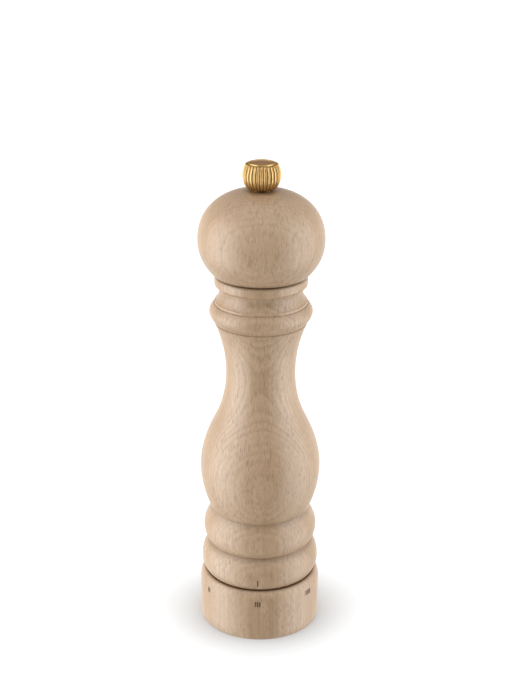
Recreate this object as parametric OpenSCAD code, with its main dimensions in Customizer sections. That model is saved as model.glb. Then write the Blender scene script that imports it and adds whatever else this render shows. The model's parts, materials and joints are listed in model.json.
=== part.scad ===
// Turned wooden pepper mill with a grind selector ring at its foot.
// Millimetres. Z points up; the origin is at the middle of the face it stands on.

/* [Selector ring] */
// Height of the wooden ring
ring_height = 24.6; // [20:0.1:34]
// Radius of the ring at its foot
ring_foot_radius = 28.0; // [27.9:0.1:34]
// Width of the bevel round its underside
foot_bevel = 0.4; // [0.2:0.1:1.2]
// Radius of the ring where its top edge starts to round over
ring_brow_radius = 27.9; // [26.6:0.1:28]
// Radius at which the rounded top edge ends
ring_lip_radius = 25.6; // [24.8:0.1:26.4]
// Height of the rounded top edge
ring_round = 4.9; // [2:0.1:7]
// Height of the upright part of the ring's side
ring_upright = 4; // [2:0.1:8]
// Room between the housing's tube and the ring's bore, for the sleeve
sleeve_room = 4.3; // [4.2:0.1:5]
// Angle between two neighbouring settings
setting_angle = 56; // [48:1:60]
// Number of settings
settings = 6; // [4:1:6]
// Setting that faces the index mark
rest_setting = 3; // [1:1:6]
// Angle of the index mark round the mill
index_angle = -91.8; // [-100:0.1:-80]

/* [Scale marks] */
// Width of one bar of a mark
bar_width = 0.6; // [0.4:0.01:0.8]
// Height of a bar
bar_height = 2.5; // [1.5:0.1:3.5]
// Distance from one bar to the next
bar_pitch = 1.02; // [0.9:0.01:1.3]
// Height of the middle of the bars above the table
bar_level = 18.8; // [10:0.1:19]
// Depth of the bars and of the index mark in the wood
mark_depth = 0.25; // [0.1:0.05:0.5]
// Length of the index mark
index_length = 3.5; // [2:0.1:4]
// Width of the index mark
index_width = 0.5; // [0.3:0.05:0.8]

/* [Body outline, from the foot up] */
// Gap between the ring and the body
ring_gap = 0.7; // [0.5:0.1:1.2]
// Radius of the body's foot
foot_radius = 25.4; // [24.4:0.1:26]
// Radius of the lower foot bead
low_bead_radius = 27.15; // [26.4:0.05:27.8]
// Height from the foot to the widest place of the lower bead
low_bead_under = 5.8; // [4:0.1:8]
// Height from there to the lower groove
low_bead_over = 9; // [7:0.1:12]
// Radius of the lower groove
low_groove_radius = 23.6; // [23.4:0.1:25]
// Radius of the upper foot bead
high_bead_radius = 26.18; // [25.4:0.05:27]
// Height from the lower groove to the widest place of the upper foot bead
high_bead_under = 7.5; // [5:0.1:9]
// Height from there to the upper groove
high_bead_over = 9.3; // [7:0.1:12]
// Radius of the upper groove
high_groove_radius = 22.6; // [21.6:0.1:23.6]
// Radius of the belly
belly_radius = 27.5; // [25:0.1:32]
// Height from the upper groove to the belly
belly_under = 21.1; // [16:0.1:28]
// Height from the belly to the middle of the flank
flank_under = 23; // [18:0.1:30]
// Radius in the middle of the flank
flank_radius = 21; // [19:0.1:22.5]
// Change of radius per height in the middle of the flank
flank_slope = -0.51; // [-0.6:0.01:-0.4]
// Height from the middle of the flank to the neck
flank_over = 23.2; // [18:0.1:30]
// Radius of the neck
neck_radius = 15.64; // [15:0.1:18]
// Height from the neck to the shoulder bead
neck_over = 23.9; // [18:0.1:30]
// Radius under the shoulder bead
flare_radius = 20.6; // [19.6:0.1:21.4]
// Radius of the shoulder bead
shoulder_radius = 23; // [22:0.05:24.5]
// Height from the bead's lower edge to its widest place
shoulder_under = 5.2; // [4:0.1:7]
// Height from there to the bead's upper edge
shoulder_over = 3.7; // [3:0.1:5]
// Radius of the small step above the bead
step_radius = 20.6; // [20.2:0.1:21.6]
// Height of that step
step_height = 1.4; // [0.8:0.1:2]
// Height from the step to the narrowest place of the cove
cove_under = 3.8; // [3:0.1:6]
// Radius of the cove
cove_radius = 18.6; // [18:0.1:19.6]
// Height from there to the collar's lower edge
cove_over = 2.3; // [2:0.1:4]
// Radius of the collar
collar_radius = 20.65; // [20.2:0.05:22]
// Height of the collar
collar_height = 5.3; // [4:0.1:8]

/* [Body bores] */
// Radius of the hopper bore
hopper_radius = 12; // [9:0.1:12.6]
// Radius of the mouth that takes the head's spigot
mouth_radius = 15.1; // [13.6:0.1:15.6]
// Room above the housing before the bore narrows
housing_headroom = 2; // [1:0.1:4]

/* [Head] */
// Gap that shows between the collar and the head
head_gap = 0.7; // [0.5:0.1:1.2]
// Radius of the head's lower edge
head_foot_radius = 21.1; // [20:0.1:22]
// Largest radius of the head
head_radius = 27.9; // [25:0.1:32]
// Height from the lower edge to the widest place
head_under = 15.4; // [12:0.1:20]
// Inset of the step inside the head's lower edge
bearing_inset = 2.2; // [1:0.1:3]
// Height from the widest place to the knob's seat
head_over = 21.85; // [18:0.1:28]
// Radius of the knob's seat
seat_radius = 5; // [4.7:0.1:6]
// Length of the spigot below the head's lower edge
spigot_length = 11; // [7:0.1:12]
// Radius of the bore for the threaded end of the shaft
stud_bore_radius = 3; // [2.8:0.05:3.2]
// Depth of that narrow bore below the knob's seat
stud_bore_depth = 9.5; // [6:0.1:14]

/* [Knob] */
// Height of the knob above its washer
knob_height = 11.7; // [9:0.05:15]
// Largest radius of the knob
knob_radius = 8.25; // [7.6:0.05:10]
// Radius of the arc that the knob's side follows
knob_side_radius = 9; // [6.8:0.1:10]
// Radius of the rim at the top
rim_radius = 6.05; // [5.6:0.1:6.5]
// Radius of the knob's foot
knob_foot_radius = 5.3; // [4.7:0.1:5.4]
// Number of flutes
flutes = 32; // [20:1:36]
// Radius of a flute
flute_radius = 0.62; // [0.4:0.01:0.7]
// Depth of a flute
flute_depth = 0.38; // [0.15:0.01:0.5]
// Angle by which the flutes run out past the knob's foot
flute_foot_angle = 4; // [2:1:8]
// Angle by which they stop short of its rim
flute_rim_angle = 3; // [1:1:8]
// Depth of the dished top
dish_depth = 0.5; // [0.2:0.1:1]
// Thickness of the washer under the knob
knob_washer_thickness = 0.3; // [0.2:0.05:1]
// Radius of the washer under the knob
knob_washer_radius = 4.5; // [4.2:0.05:4.6]
// Radius of the knob's pilot, on which the washer rides
knob_pilot_radius = 3.6; // [3.2:0.05:3.8]
// Height of the knob's widest place above its foot
knob_waist = 6.6; // [5:0.1:8]
// Height of the plain foot below the knob's side
knob_foot_height = 0.6; // [0.4:0.1:2]
// Height of the rounded rim above the knob's side
rim_drop = 0.8; // [0.5:0.1:1.2]
// Width of the rim round the dished top
rim_width = 0.75; // [0.7:0.1:1.4]
// Number of turns that free the knob from the shaft
knob_turns = 5; // [4:1:7]

/* [Shaft] */
// Width of the square shaft across its flats
shaft_width = 6; // [5.6:0.1:6.4]
// Radius to which its corners are turned
shaft_corner_radius = 4; // [3.7:0.05:4]
// Radius of the threaded end under the knob
stud_radius = 2.5; // [2.4:0.05:2.6]
// Pitch of the knob's thread
stud_pitch = 0.8; // [0.7:0.05:0.9]
// Radius of the threaded end under the burr
tail_radius = 2; // [1.8:0.05:2.4]
// Length of the tail below the burr nut
tail_end = 0.6; // [0.2:0.1:0.9]
// Room between the shaft's shoulder and the narrow bore in the head
shoulder_play = 1.5; // [0.8:0.1:3]
// Radius to which the clip's groove is cut
clip_groove_radius = 3.1; // [3:0.05:3.3]
// Outer radius of the clip
clip_radius = 5.6; // [5:0.1:6.4]
// Thickness of the clip
clip_thickness = 0.8; // [0.6:0.1:1.2]
// Thickness of the washer under the clip
thrust_washer_thickness = 0.9; // [0.6:0.1:1.4]
// Thickness of the washer between the spring and the burr
spring_washer_thickness = 0.8; // [0.5:0.1:1.2]
// Thickness of the washer under the burr
burr_washer_thickness = 0.9; // [0.6:0.1:1]
// Radius of the washer under the burr
burr_washer_radius = 5.4; // [5:0.1:7]
// Height of the nut under the burr
burr_nut_height = 3; // [2.4:0.1:3.2]
// Radius of the nut over its corners
burr_nut_radius = 4.04; // [3.8:0.02:4.6]
// Wire radius of the shaft spring
spring_wire_radius = 0.45; // [0.3:0.05:0.55]
// Mean radius of the shaft spring's coils
spring_coil_radius = 5.2; // [5:0.05:5.6]
// Number of coils
spring_coils = 8; // [6:1:10]

/* [Drive plate] */
// Thickness of the plate that turns the shaft
plate_thickness = 1.6; // [1.2:0.1:2.4]
// Radius of the plate
plate_radius = 13.4; // [12:0.1:13.6]
// Radius of a plate screw's shank
plate_screw_radius = 1.25; // [0.9:0.05:1.4]
// Radius of its countersunk head
plate_screw_head = 2.3; // [1.9:0.1:2.6]
// Distance of the plate screws from the axis
plate_screw_place = 9; // [8:0.1:10]
// Length of the plate screws
plate_screw_length = 9; // [6:0.1:10]

/* [Mechanism housing] */
// Outer radius of the housing's tube
tube_radius = 17.2; // [17.1:0.05:17.4]
// Wall of the tube
tube_wall = 1.2; // [1.1:0.05:1.3]
// Height of the tube above the body's foot
tube_rise = 26.7; // [22:0.1:30]
// Length of the tube's legs below the body's foot
leg_length = 18.8; // [18:0.1:19.6]
// Width of the flange outside the tube
flange_width = 5.4; // [5.1:0.1:5.6]
// Thickness of the flange
flange_thickness = 1.8; // [1.6:0.1:2.6]
// Distance of the housing screws outside the tube
screw_inset = 3; // [2.8:0.1:3.1]
// Radius of a housing screw's shank
screw_radius = 1.4; // [1:0.05:1.5]
// Radius of its countersunk head
screw_head_radius = 2.5; // [2:0.05:2.6]
// Length of a housing screw
screw_length = 12.5; // [9:0.1:14]
// Wall of the bridge's hub round the bush
bridge_hub_wall = 1.5; // [1:0.1:2.4]
// Width of the bridge's rim
bridge_rim_width = 2; // [1.4:0.1:3]
// Thickness of the bridge across the tube
bridge_thickness = 2; // [1.5:0.1:3]
// Depth of the bridge below the tube's upper end
bridge_drop = 2; // [1:0.1:5]
// Width of the bridge's spokes
spoke_width = 3; // [2:0.1:4]
// Outer radius of the shaft bush
bush_radius = 5.1; // [4.9:0.05:5.5]
// Radius of the bush's collar
bush_collar_radius = 7; // [6.4:0.1:8]
// Thickness of the bush's collar
bush_collar = 1.3; // [1:0.1:2]
// Length of the bush below the bridge
bush_drop = 1; // [0.5:0.1:3]

/* [Burrs and carrier] */
// Wall of the carrier round the female burr
carrier_wall = 1.94; // [1.8:0.02:2.2]
// Height of the female burr
female_height = 12; // [10:0.1:12.5]
// Height of the fine teeth at the burr's lower end
fine_height = 4.5; // [3:0.1:6]
// Inner radius of the female burr above the fine teeth
female_throat = 11.7; // [11.4:0.05:12]
// Inner radius of the female burr at its lower face
female_mouth = 12.9; // [12.5:0.05:13.2]
// Gap between the burrs at the rest setting
burr_gap = 0.5; // [0.45:0.05:0.8]
// Radius of the male burr at its top
male_top_radius = 5.6; // [5.2:0.1:7]
// Height of the male burr
male_height = 15.3; // [13:0.1:16]
// Height of the male burr's lower face above the female burr's
male_lift = 0.2; // [0:0.1:0.8]
// Step from the fine teeth in to the coarse ones
coarse_step = 1.2; // [0.6:0.1:1.8]
// Number of coarse teeth on the male burr
coarse_teeth = 8; // [6:1:10]
// Width of a coarse groove
coarse_groove_width = 2.2; // [1.6:0.1:2.8]
// Depth of a coarse groove at its lower end
coarse_groove_depth = 2.3; // [1.4:0.1:2.6]
// Slant of the coarse grooves
coarse_slant = 20; // [10:1:26]
// Number of fine teeth
fine_teeth = 36; // [24:1:44]
// Width of the cuts between the fine teeth
fine_groove_width = 0.6; // [0.4:0.05:0.8]
// Depth of the cuts between the fine teeth
fine_groove_depth = 0.45; // [0.3:0.05:0.6]
// Slant of the fine teeth
fine_slant = 12; // [6:1:18]
// Width of the wide grooves above the female burr's fine teeth
throat_groove_width = 1.6; // [1.2:0.1:2]
// Depth of those grooves
throat_groove_depth = 0.7; // [0.4:0.1:1]
// Slant of those grooves
throat_slant = 16; // [8:1:20]
// Height of the carrier
carrier_height = 14.8; // [14.6:0.1:15.4]
// Height of the carrier's lower end above the ends of the legs
carrier_recess = 2.1; // [1.6:0.1:2.4]
// Inner radius of the carrier's upper lip
carrier_lip_radius = 12.6; // [12:0.1:13]
// Thickness of the ring that holds the burr in the carrier
burr_ring_thickness = 0.8; // [0.6:0.1:1]
// Depth of that ring's groove
burr_ring_depth = 0.7; // [0.4:0.05:0.9]
// Width of the retaining ring that stands out under the female burr
burr_ring_ledge = 0.8; // [0.6:0.1:1]
// Angle of the retaining ring's opening
burr_ring_opening = 20; // [14:1:26]
// Width of the carrier's edge below that groove
burr_ring_margin = 0.5; // [0.4:0.1:0.9]
// Height of the lugs above the carrier's lower end
lug_margin = 3.4; // [2.6:0.1:4]
// Height of the threaded lugs on the carrier
lug_height = 6; // [4:0.1:7]
// Arc that one lug spans
lug_angle = 46; // [34:1:48]
// Angle of play at each side of a lug in its slot
lug_side_play = 2; // [1:0.5:3]
// Distance of the selector thread's mean radius outside the tube
thread_step = 1.4; // [1.2:0.05:1.6]
// Lead of the selector thread
thread_lead = 1.8; // [1.2:0.1:2]

/* [Selector sleeve] */
// Length of the sleeve's bearing land on the tube
land_length = 4.6; // [3.5:0.1:5]
// Wall of the sleeve's rim inside the notches
rim_wall = 1.4; // [1.2:0.1:1.6]
// Room for the click spring between the flange and the sleeve
click_room = 1.1; // [1:0.05:1.3]
// Depth of the click notches
notch_depth = 0.5; // [0.3:0.05:0.6]
// Radius of the click spring's nose
nose_radius = 0.8; // [0.65:0.05:0.85]
// Thickness of the click spring
leaf_thickness = 0.4; // [0.3:0.05:0.5]
// Gap at each side of the click spring
leaf_play = 0.2; // [0.1:0.05:0.3]
// Angle from the last rivet to the spring's nose
finger_reach = 16; // [14:1:19]
// Angle of the click rivets from the middle of the spring
rivet_spread = 13; // [10:1:16]
// Radius of a click rivet's shank
rivet_radius = 0.8; // [0.6:0.05:0.9]
// Radius of a click rivet's head
rivet_head_radius = 1.3; // [1.1:0.05:1.5]
// Height of a click rivet's head
rivet_head_height = 0.3; // [0.2:0.05:0.4]
// Thickness of the slide washer under the sleeve
slide_washer_thickness = 0.8; // [0.5:0.1:1]
// Thickness of the snap ring
snap_thickness = 0.8; // [0.6:0.1:1]
// Height of the snap ring over the legs
snap_height = 1.6; // [1.2:0.1:2]
// Angle of the snap ring's opening
snap_opening = 14; // [10:1:20]
// Length of the legs below the snap ring
snap_margin = 0.8; // [0.6:0.1:1.2]
// Depth of the snap ring's groove
snap_groove = 0.6; // [0.4:0.05:0.7]

/* [Fits] */
// Radial clearance of a running fit
running_fit = 0.06; // [0.03:0.01:0.09]
// Radial clearance of a piece that is fastened in its seat
seat_fit = 0.05; // [0.02:0.01:0.08]
// Play between flat faces that slide on each other
face_play = 0.1; // [0.05:0.01:0.15]
// Gap between pieces stacked on each other
stack_gap = 0.05; // [0.02:0.01:0.08]
// Clearance between pieces that move past each other freely
free_play = 0.3; // [0.2:0.05:0.4]

/* [Hidden] */
$fn = 64;

// Colours
BEECH = "#d6b893";
BRASS = "#c9a24a";
STEEL = "#b9bcc0";
DARK_STEEL = "#6f7276";
NYLON = "#e8e4d8";
BLACK_PLASTIC = "#2c2c2e";

// How far a cut runs past the face that it opens
OVER = 1;
// How far the faces of one solid's parts run into each other
WELD = 0.2;
// Play of a thin ring in its groove, at each face
SLIT = 0.02;
// Angle by which the click spring's leaf runs past its rivets, both ends together
LEAF_END = 8;
FRONT = -90;
BACK = 90;
SCREW_TURN = 30;

// Heights of the outline, from the table up
foot_z = ring_height + ring_gap;
low_bead_z = foot_z + low_bead_under;
low_groove_z = low_bead_z + low_bead_over;
high_bead_z = low_groove_z + high_bead_under;
high_groove_z = high_bead_z + high_bead_over;
belly_z = high_groove_z + belly_under;
flank_z = belly_z + flank_under;
neck_z = flank_z + flank_over;
flare_z = neck_z + neck_over;
shoulder_z = flare_z + shoulder_under;
shoulder_top_z = shoulder_z + shoulder_over;
step_z = shoulder_top_z + step_height;
cove_z = step_z + cove_under;
collar_z = cove_z + cove_over;
body_top_z = collar_z + collar_height;
head_z = body_top_z + head_gap;
head_widest_z = head_z + head_under;
seat_z = head_widest_z + head_over;
washer_z = seat_z + face_play;
knob_z = washer_z + knob_washer_thickness + face_play;
knob_top_z = knob_z + knob_height;

// Housing
tube_bore = tube_radius - tube_wall;
flange_radius = tube_radius + flange_width;
screw_place = tube_radius + screw_inset;
ring_bore_radius = tube_radius + sleeve_room;
thread_radius = tube_radius + thread_step;
tube_top_z = foot_z + tube_rise;
leg_z = foot_z - leg_length;
bridge_top_z = tube_top_z - bridge_drop;
bridge_z = bridge_top_z - bridge_thickness;
bridge_rim_radius = tube_bore - bridge_rim_width;
bridge_hub_radius = bush_radius + bridge_hub_wall;
bush_z = bridge_z - bush_drop;
bush_top_z = bridge_top_z + bush_collar;
counterbore_radius = tube_radius + seat_fit;
counterbore_z = tube_top_z + housing_headroom;
hopper_z = counterbore_z + counterbore_radius - hopper_radius;

// Snap ring, slide washer and selector sleeve, from the legs' ends up
snap_z = leg_z + snap_margin;
slide_washer_z = snap_z + snap_thickness;
sleeve_z = slide_washer_z + slide_washer_thickness + face_play;
rim_top_z = foot_z - face_play;
track_z = foot_z - click_room;
land_z = track_z - land_length;
land_bore = tube_radius + running_fit;
sleeve_radius = ring_bore_radius - seat_fit;
track_radius = land_bore + rim_wall;
thread_bore = thread_radius + running_fit;
travel_up = thread_lead * setting_angle * (settings - rest_setting) / 360;

// Click spring
leaf_track = (track_radius + sleeve_radius) / 2;
leaf_width = sleeve_radius - track_radius - 2 * leaf_play;
nose_width = leaf_width - 2 * leaf_play;
nose_z = track_z - notch_depth + nose_radius;
nose_angle = rivet_spread + finger_reach;
leaf_top = foot_z - stack_gap / 2;
leaf_z = leaf_top - leaf_thickness;
snap_ring_radius = tube_radius + snap_height;
finger_length = 2 * leaf_track * sin(finger_reach / 2) - rivet_head_radius - leaf_play;
finger_drop = leaf_z + leaf_thickness / 2 - nose_z;

// Carrier and burrs
carrier_radius = tube_bore - running_fit;
female_radius = carrier_radius - carrier_wall;
carrier_z = leg_z + carrier_recess;
carrier_top_z = carrier_z + carrier_height;
burr_ring_z = carrier_z + burr_ring_margin;
female_z = burr_ring_z + burr_ring_thickness + face_play;
female_top_z = female_z + female_height;
lug_z = carrier_z + lug_margin;
lug_slot_angle = lug_angle + 2 * lug_side_play;
slot_top_z = lug_z + lug_height + travel_up + free_play + face_play;
male_z = female_z + male_lift;
male_top_z = male_z + male_height;
fine_top_z = female_z + fine_height;
mouth_slope = (female_mouth - female_throat) / fine_height;
male_mouth = female_mouth - burr_gap;
male_throat = female_throat - burr_gap;
male_waist = male_throat - coarse_step;

// Shaft
corner_bore = shaft_corner_radius + running_fit;
square_hole = shaft_width + 2 * seat_fit;
burr_washer_z = male_z - burr_washer_thickness;
burr_nut_z = burr_washer_z - burr_nut_height;
tail_z = burr_nut_z - tail_end;
square_z = male_z + free_play;
square_top_z = seat_z - stud_bore_depth - shoulder_play;
stud_top_z = knob_z + knob_turns * stud_pitch + stack_gap;
thrust_washer_z = bush_top_z + face_play;
clip_z = thrust_washer_z + thrust_washer_thickness + stack_gap;
spring_washer_z = male_top_z + stack_gap;
spring_z = spring_washer_z + spring_washer_thickness + stack_gap;
spring_top_z = bush_z - face_play;

// Head and drive plate
spigot_radius = mouth_radius - free_play;
spigot_z = head_z - spigot_length;
head_bore_radius = shaft_corner_radius + 2 * free_play;
bearing_radius = collar_radius - bearing_inset;
bearing_z = body_top_z + free_play;
plate_z = spigot_z - plate_thickness - stack_gap;
mouth_z = plate_z - 2 * free_play;

// Knob
knob_bore_radius = stud_radius + running_fit;
knob_bore_depth = stud_top_z - washer_z + 1;
knob_axis = knob_radius - knob_side_radius;
knob_waist_z = knob_z + knob_waist;

// Point at a share u of a smooth bend from a to b, where ta and tb are its directions there
function bend_point(a, ta, b, tb, u) = let (v = 1 - u)
    v * v * (1 + 2 * u) * a + u * v * v * ta + u * u * (3 - 2 * u) * b - u * u * v * tb;

function bend(a, ta, b, tb, n) = [for (i = [0:n]) bend_point(a, ta, b, tb, i / n)];

// A bend between two heights; each end is [radius, height, change of radius per height]
function rise(low, high, n = 6) = let (h = high[1] - low[1])
    bend([low[0], low[1]], [low[2] * h, h], [high[0], high[1]], [high[2] * h, h], n);

// Points on an arc round c, from angle a to angle b
function arc(c, r, a, b, n) = [for (i = [0:n]) let (t = a + (b - a) * i / n)
    [c[0] + r * cos(t), c[1] + r * sin(t)]];

function ring_side() = concat(
    [[ring_foot_radius - foot_bevel, 0], [ring_foot_radius, 1.3 * foot_bevel]],
    rise([ring_foot_radius, ring_upright, 0], [ring_brow_radius, ring_height - ring_round, -0.02], 4),
    bend([ring_brow_radius, ring_height - ring_round], [-0.1, 1.1 * ring_round],
         [ring_lip_radius, ring_height], [-1.6 * (ring_brow_radius - ring_lip_radius), 0.4], 6));

// Point on the underside of the lower foot bead, at a share u of its height
function low_bead_point(u) = bend_point([foot_radius, foot_z], [0.8 * low_bead_under, low_bead_under],
    [low_bead_radius, low_bead_z], [0, low_bead_under], u);

function foot_beads() = concat(
    [for (i = [0:5]) low_bead_point(i / 5)],
    rise([low_bead_radius, low_bead_z, 0], [low_groove_radius, low_groove_z, -0.95]),
    rise([low_groove_radius, low_groove_z, 0.8], [high_bead_radius, high_bead_z, 0], 5),
    rise([high_bead_radius, high_bead_z, 0], [high_groove_radius, high_groove_z, -0.5]));

function vase() = concat(
    rise([high_groove_radius, high_groove_z, 0.46], [belly_radius, belly_z, 0], 8),
    rise([belly_radius, belly_z, 0], [flank_radius, flank_z, flank_slope], 8),
    rise([flank_radius, flank_z, flank_slope], [neck_radius, neck_z, 0], 7),
    rise([neck_radius, neck_z, 0], [flare_radius, flare_z - 0.2, 0.42], 7));

function shoulder_and_collar() = concat(
    rise([flare_radius - 0.3, flare_z, 0.9], [shoulder_radius, shoulder_z, 0]),
    rise([shoulder_radius, shoulder_z, 0], [step_radius + 0.4, shoulder_top_z, -0.8]),
    [[step_radius, shoulder_top_z + 0.05], [step_radius, step_z]],
    rise([step_radius, step_z + 0.05, -0.75], [cove_radius, cove_z, 0]),
    rise([cove_radius, cove_z, 0], [cove_radius + 0.6, collar_z, 0.3], 3),
    bend([cove_radius + 0.6, collar_z], [1.4, 0], [collar_radius, collar_z + 1.7], [0, 1.8], 4),
    bend([collar_radius, body_top_z - 1.7], [0, 2.6], [collar_radius - 1.6, body_top_z], [-2.6, 0], 4));

function head_side() = concat(
    rise([head_foot_radius, head_z, 1], [head_radius, head_widest_z, 0], 8),
    bend([head_radius, head_widest_z], [0, 2.11 * head_over],
         [seat_radius, seat_z], [-1.34 * (head_radius - seat_radius), 1.5], 16));

// Angle at which the arc of the knob's side meets a height
function side_angle(z) = asin((z - knob_waist_z) / knob_side_radius);

module ring(outer, inner, low, high) {
    translate([0, 0, low])
        difference() {
            cylinder(r = outer, h = high - low);
            translate([0, 0, -OVER])
                cylinder(r = inner, h = high - low + 2 * OVER);
        }
}

module column(r, low, high) {
    translate([0, 0, low])
        cylinder(r = r, h = high - low);
}

module sector(r, angle, low, high) {
    translate([0, 0, low])
        rotate([0, 0, -angle / 2])
            rotate_extrude(angle = angle)
                square([r, high - low]);
}

module at_thirds(turn = 0) {
    for (i = [0:2])
        rotate([0, 0, turn + 120 * i])
            children();
}

module square_bar(width, low, high) {
    translate([-width / 2, -width / 2, low])
        cube([width, width, high - low]);
}

// Countersunk screw with its head's face at height z, pointing up
module screw(shank, head, length, z) {
    translate([0, 0, z])
        rotate_extrude()
            polygon([[0, 0], [head, 0], [head, 0.2], [shank, head - shank + 0.2],
                     [shank, length - 2 * shank], [0.3, length], [0, length]]);
}

// Knob

module knob_side_profile() {
    low = side_angle(knob_z + knob_foot_height);
    high = side_angle(knob_top_z - rim_drop);
    polygon(concat(
        [[0, knob_z], [knob_foot_radius, knob_z]],
        arc([knob_axis, knob_waist_z], knob_side_radius, low, high, 14),
        [[rim_radius + 0.4, knob_top_z - rim_drop / 3], [rim_radius - 0.1, knob_top_z],
         [rim_radius - rim_width + 0.3, knob_top_z],
         [rim_radius - rim_width, knob_top_z - dish_depth], [0, knob_top_z - dish_depth]]));
}

// Each flute is a groove that runs along the arc of the knob's side
module knob_flutes() {
    low = side_angle(knob_z) - flute_foot_angle;
    high = side_angle(knob_top_z - rim_drop) - flute_rim_angle;
    path_radius = knob_side_radius + flute_radius - flute_depth;
    for (i = [0:flutes - 1])
        rotate([0, 0, (i + 0.5) * 360 / flutes])
            translate([knob_axis, 0, knob_waist_z])
                rotate([90, 0, 0])
                    rotate([0, 0, low])
                        rotate_extrude(angle = high - low)
                            translate([path_radius, 0])
                                circle(r = flute_radius);
}

module top_knob() {
    color(BRASS)
        difference() {
            union() {
                rotate_extrude()
                    knob_side_profile();
                column(knob_pilot_radius, washer_z, knob_z + WELD);
            }
            knob_flutes();
            column(knob_bore_radius, washer_z - OVER, washer_z + knob_bore_depth);
        }
}

module knob_washer() {
    color(BRASS)
        ring(knob_washer_radius, knob_pilot_radius + running_fit,
             washer_z, washer_z + knob_washer_thickness);
}

// Head

module head() {
    color(BEECH)
        difference() {
            rotate_extrude()
                polygon(concat(
                    [[0, spigot_z], [spigot_radius - 0.5, spigot_z], [spigot_radius, spigot_z + 0.5],
                     [spigot_radius, bearing_z], [bearing_radius, bearing_z], [bearing_radius, head_z]],
                    head_side(), [[0, seat_z]]));
            column(head_bore_radius, spigot_z - OVER, seat_z - stud_bore_depth);
            column(stud_bore_radius, seat_z - stud_bore_depth - WELD, seat_z + OVER);
            at_plate_screws()
                column(plate_screw_radius + seat_fit, spigot_z - OVER, plate_z + plate_screw_length + 0.4);
        }
}

module at_plate_screws() {
    for (side = [-1, 1])
        translate([side * plate_screw_place, 0, 0])
            children();
}

module drive_plate() {
    color(STEEL)
        difference() {
            column(plate_radius, plate_z, plate_z + plate_thickness);
            square_bar(square_hole, plate_z - OVER, plate_z + plate_thickness + OVER);
            at_plate_screws()
                screw(plate_screw_radius + seat_fit, plate_screw_head + seat_fit,
                      plate_screw_length, plate_z - 0.01);
        }
}

module plate_screws() {
    color(DARK_STEEL)
        at_plate_screws()
            difference() {
                screw(plate_screw_radius, plate_screw_head, plate_screw_length, plate_z);
                cross_slot(plate_z);
            }
}

module cross_slot(z) {
    for (turn = [0, 90])
        rotate([0, 0, turn])
            translate([-1.2, -0.25, z - OVER])
                cube([2.4, 0.5, OVER + 0.7]);
}

// Body

module mill_body() {
    color(BEECH)
        difference() {
            rotate_extrude()
                polygon(concat([[0, foot_z]], foot_beads(), vase(), shoulder_and_collar(),
                               [[0, body_top_z]]));
            rotate_extrude()
                polygon([[0, foot_z - OVER], [counterbore_radius, foot_z - OVER],
                         [counterbore_radius, counterbore_z], [hopper_radius, hopper_z],
                         [hopper_radius, mouth_z - (mouth_radius - hopper_radius)],
                         [mouth_radius, mouth_z], [mouth_radius, body_top_z + OVER],
                         [0, body_top_z + OVER]]);
            column(flange_radius + 2 * seat_fit, foot_z - OVER, foot_z + flange_thickness + seat_fit);
            at_thirds(SCREW_TURN)
                translate([screw_place, 0, 0])
                    column(screw_radius + seat_fit, foot_z, foot_z + screw_length + 0.5);
            index_mark();
        }
}

// The mark that the settings turn to; its floor follows the bead
module index_mark() {
    line = [for (i = [0:3]) low_bead_point(1 - index_length / low_bead_under * (1 - i / 3))];
    rotate([90, 0, index_angle])
        linear_extrude(height = index_width, center = true)
            polygon(concat([for (p = line) p - [mark_depth, 0]],
                           [line[3] + [OVER, 0], line[0] + [OVER, 0]]));
}

// Mechanism housing

module mechanism_housing() {
    color(STEEL)
        difference() {
            union() {
                column(tube_radius, leg_z, tube_top_z);
                column(flange_radius, foot_z, foot_z + flange_thickness);
            }
            column(tube_bore, leg_z - OVER, tube_top_z + OVER);
            at_thirds(FRONT)
                difference() {
                    sector(tube_radius + OVER, lug_slot_angle, leg_z - OVER, slot_top_z);
                    column(tube_bore - OVER, leg_z - 2 * OVER, slot_top_z + OVER);
                }
            ring(tube_radius + OVER, tube_radius - snap_groove, snap_z, snap_z + snap_thickness);
            at_thirds(SCREW_TURN)
                translate([screw_place, 0, 0])
                    screw(screw_radius + seat_fit, screw_head_radius + seat_fit,
                          screw_length, foot_z - 0.01);
            at_click_rivets()
                column(rivet_radius + seat_fit, foot_z - OVER, foot_z + flange_thickness + OVER);
        }
}

module housing_screws() {
    color(DARK_STEEL)
        at_thirds(SCREW_TURN)
            translate([screw_place, 0, 0])
                difference() {
                    screw(screw_radius, screw_head_radius, screw_length, foot_z);
                    cross_slot(foot_z);
                }
}

module bridge() {
    color(STEEL)
        difference() {
            union() {
                ring(tube_bore - seat_fit, bridge_rim_radius, bridge_z, bridge_top_z);
                column(bridge_hub_radius, bridge_z, bridge_top_z);
                at_thirds(BACK)
                    translate([0, -spoke_width / 2, bridge_z])
                        cube([bridge_rim_radius + WELD, spoke_width, bridge_thickness]);
            }
            column(bush_radius + seat_fit, bridge_z - OVER, bridge_top_z + OVER);
        }
}

module shaft_bush() {
    color(NYLON)
        difference() {
            union() {
                column(bush_radius, bush_z, bush_top_z);
                column(bush_collar_radius, bridge_top_z, bush_top_z);
            }
            column(corner_bore, bush_z - OVER, bush_top_z + OVER);
        }
}

// Click spring: a leaf riveted under the flange, with a nose in the sleeve's notches

module at_click_rivets() {
    for (side = [-1, 1])
        rotate([0, 0, BACK + side * rivet_spread])
            translate([leaf_track, 0, 0])
                children();
}

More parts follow.
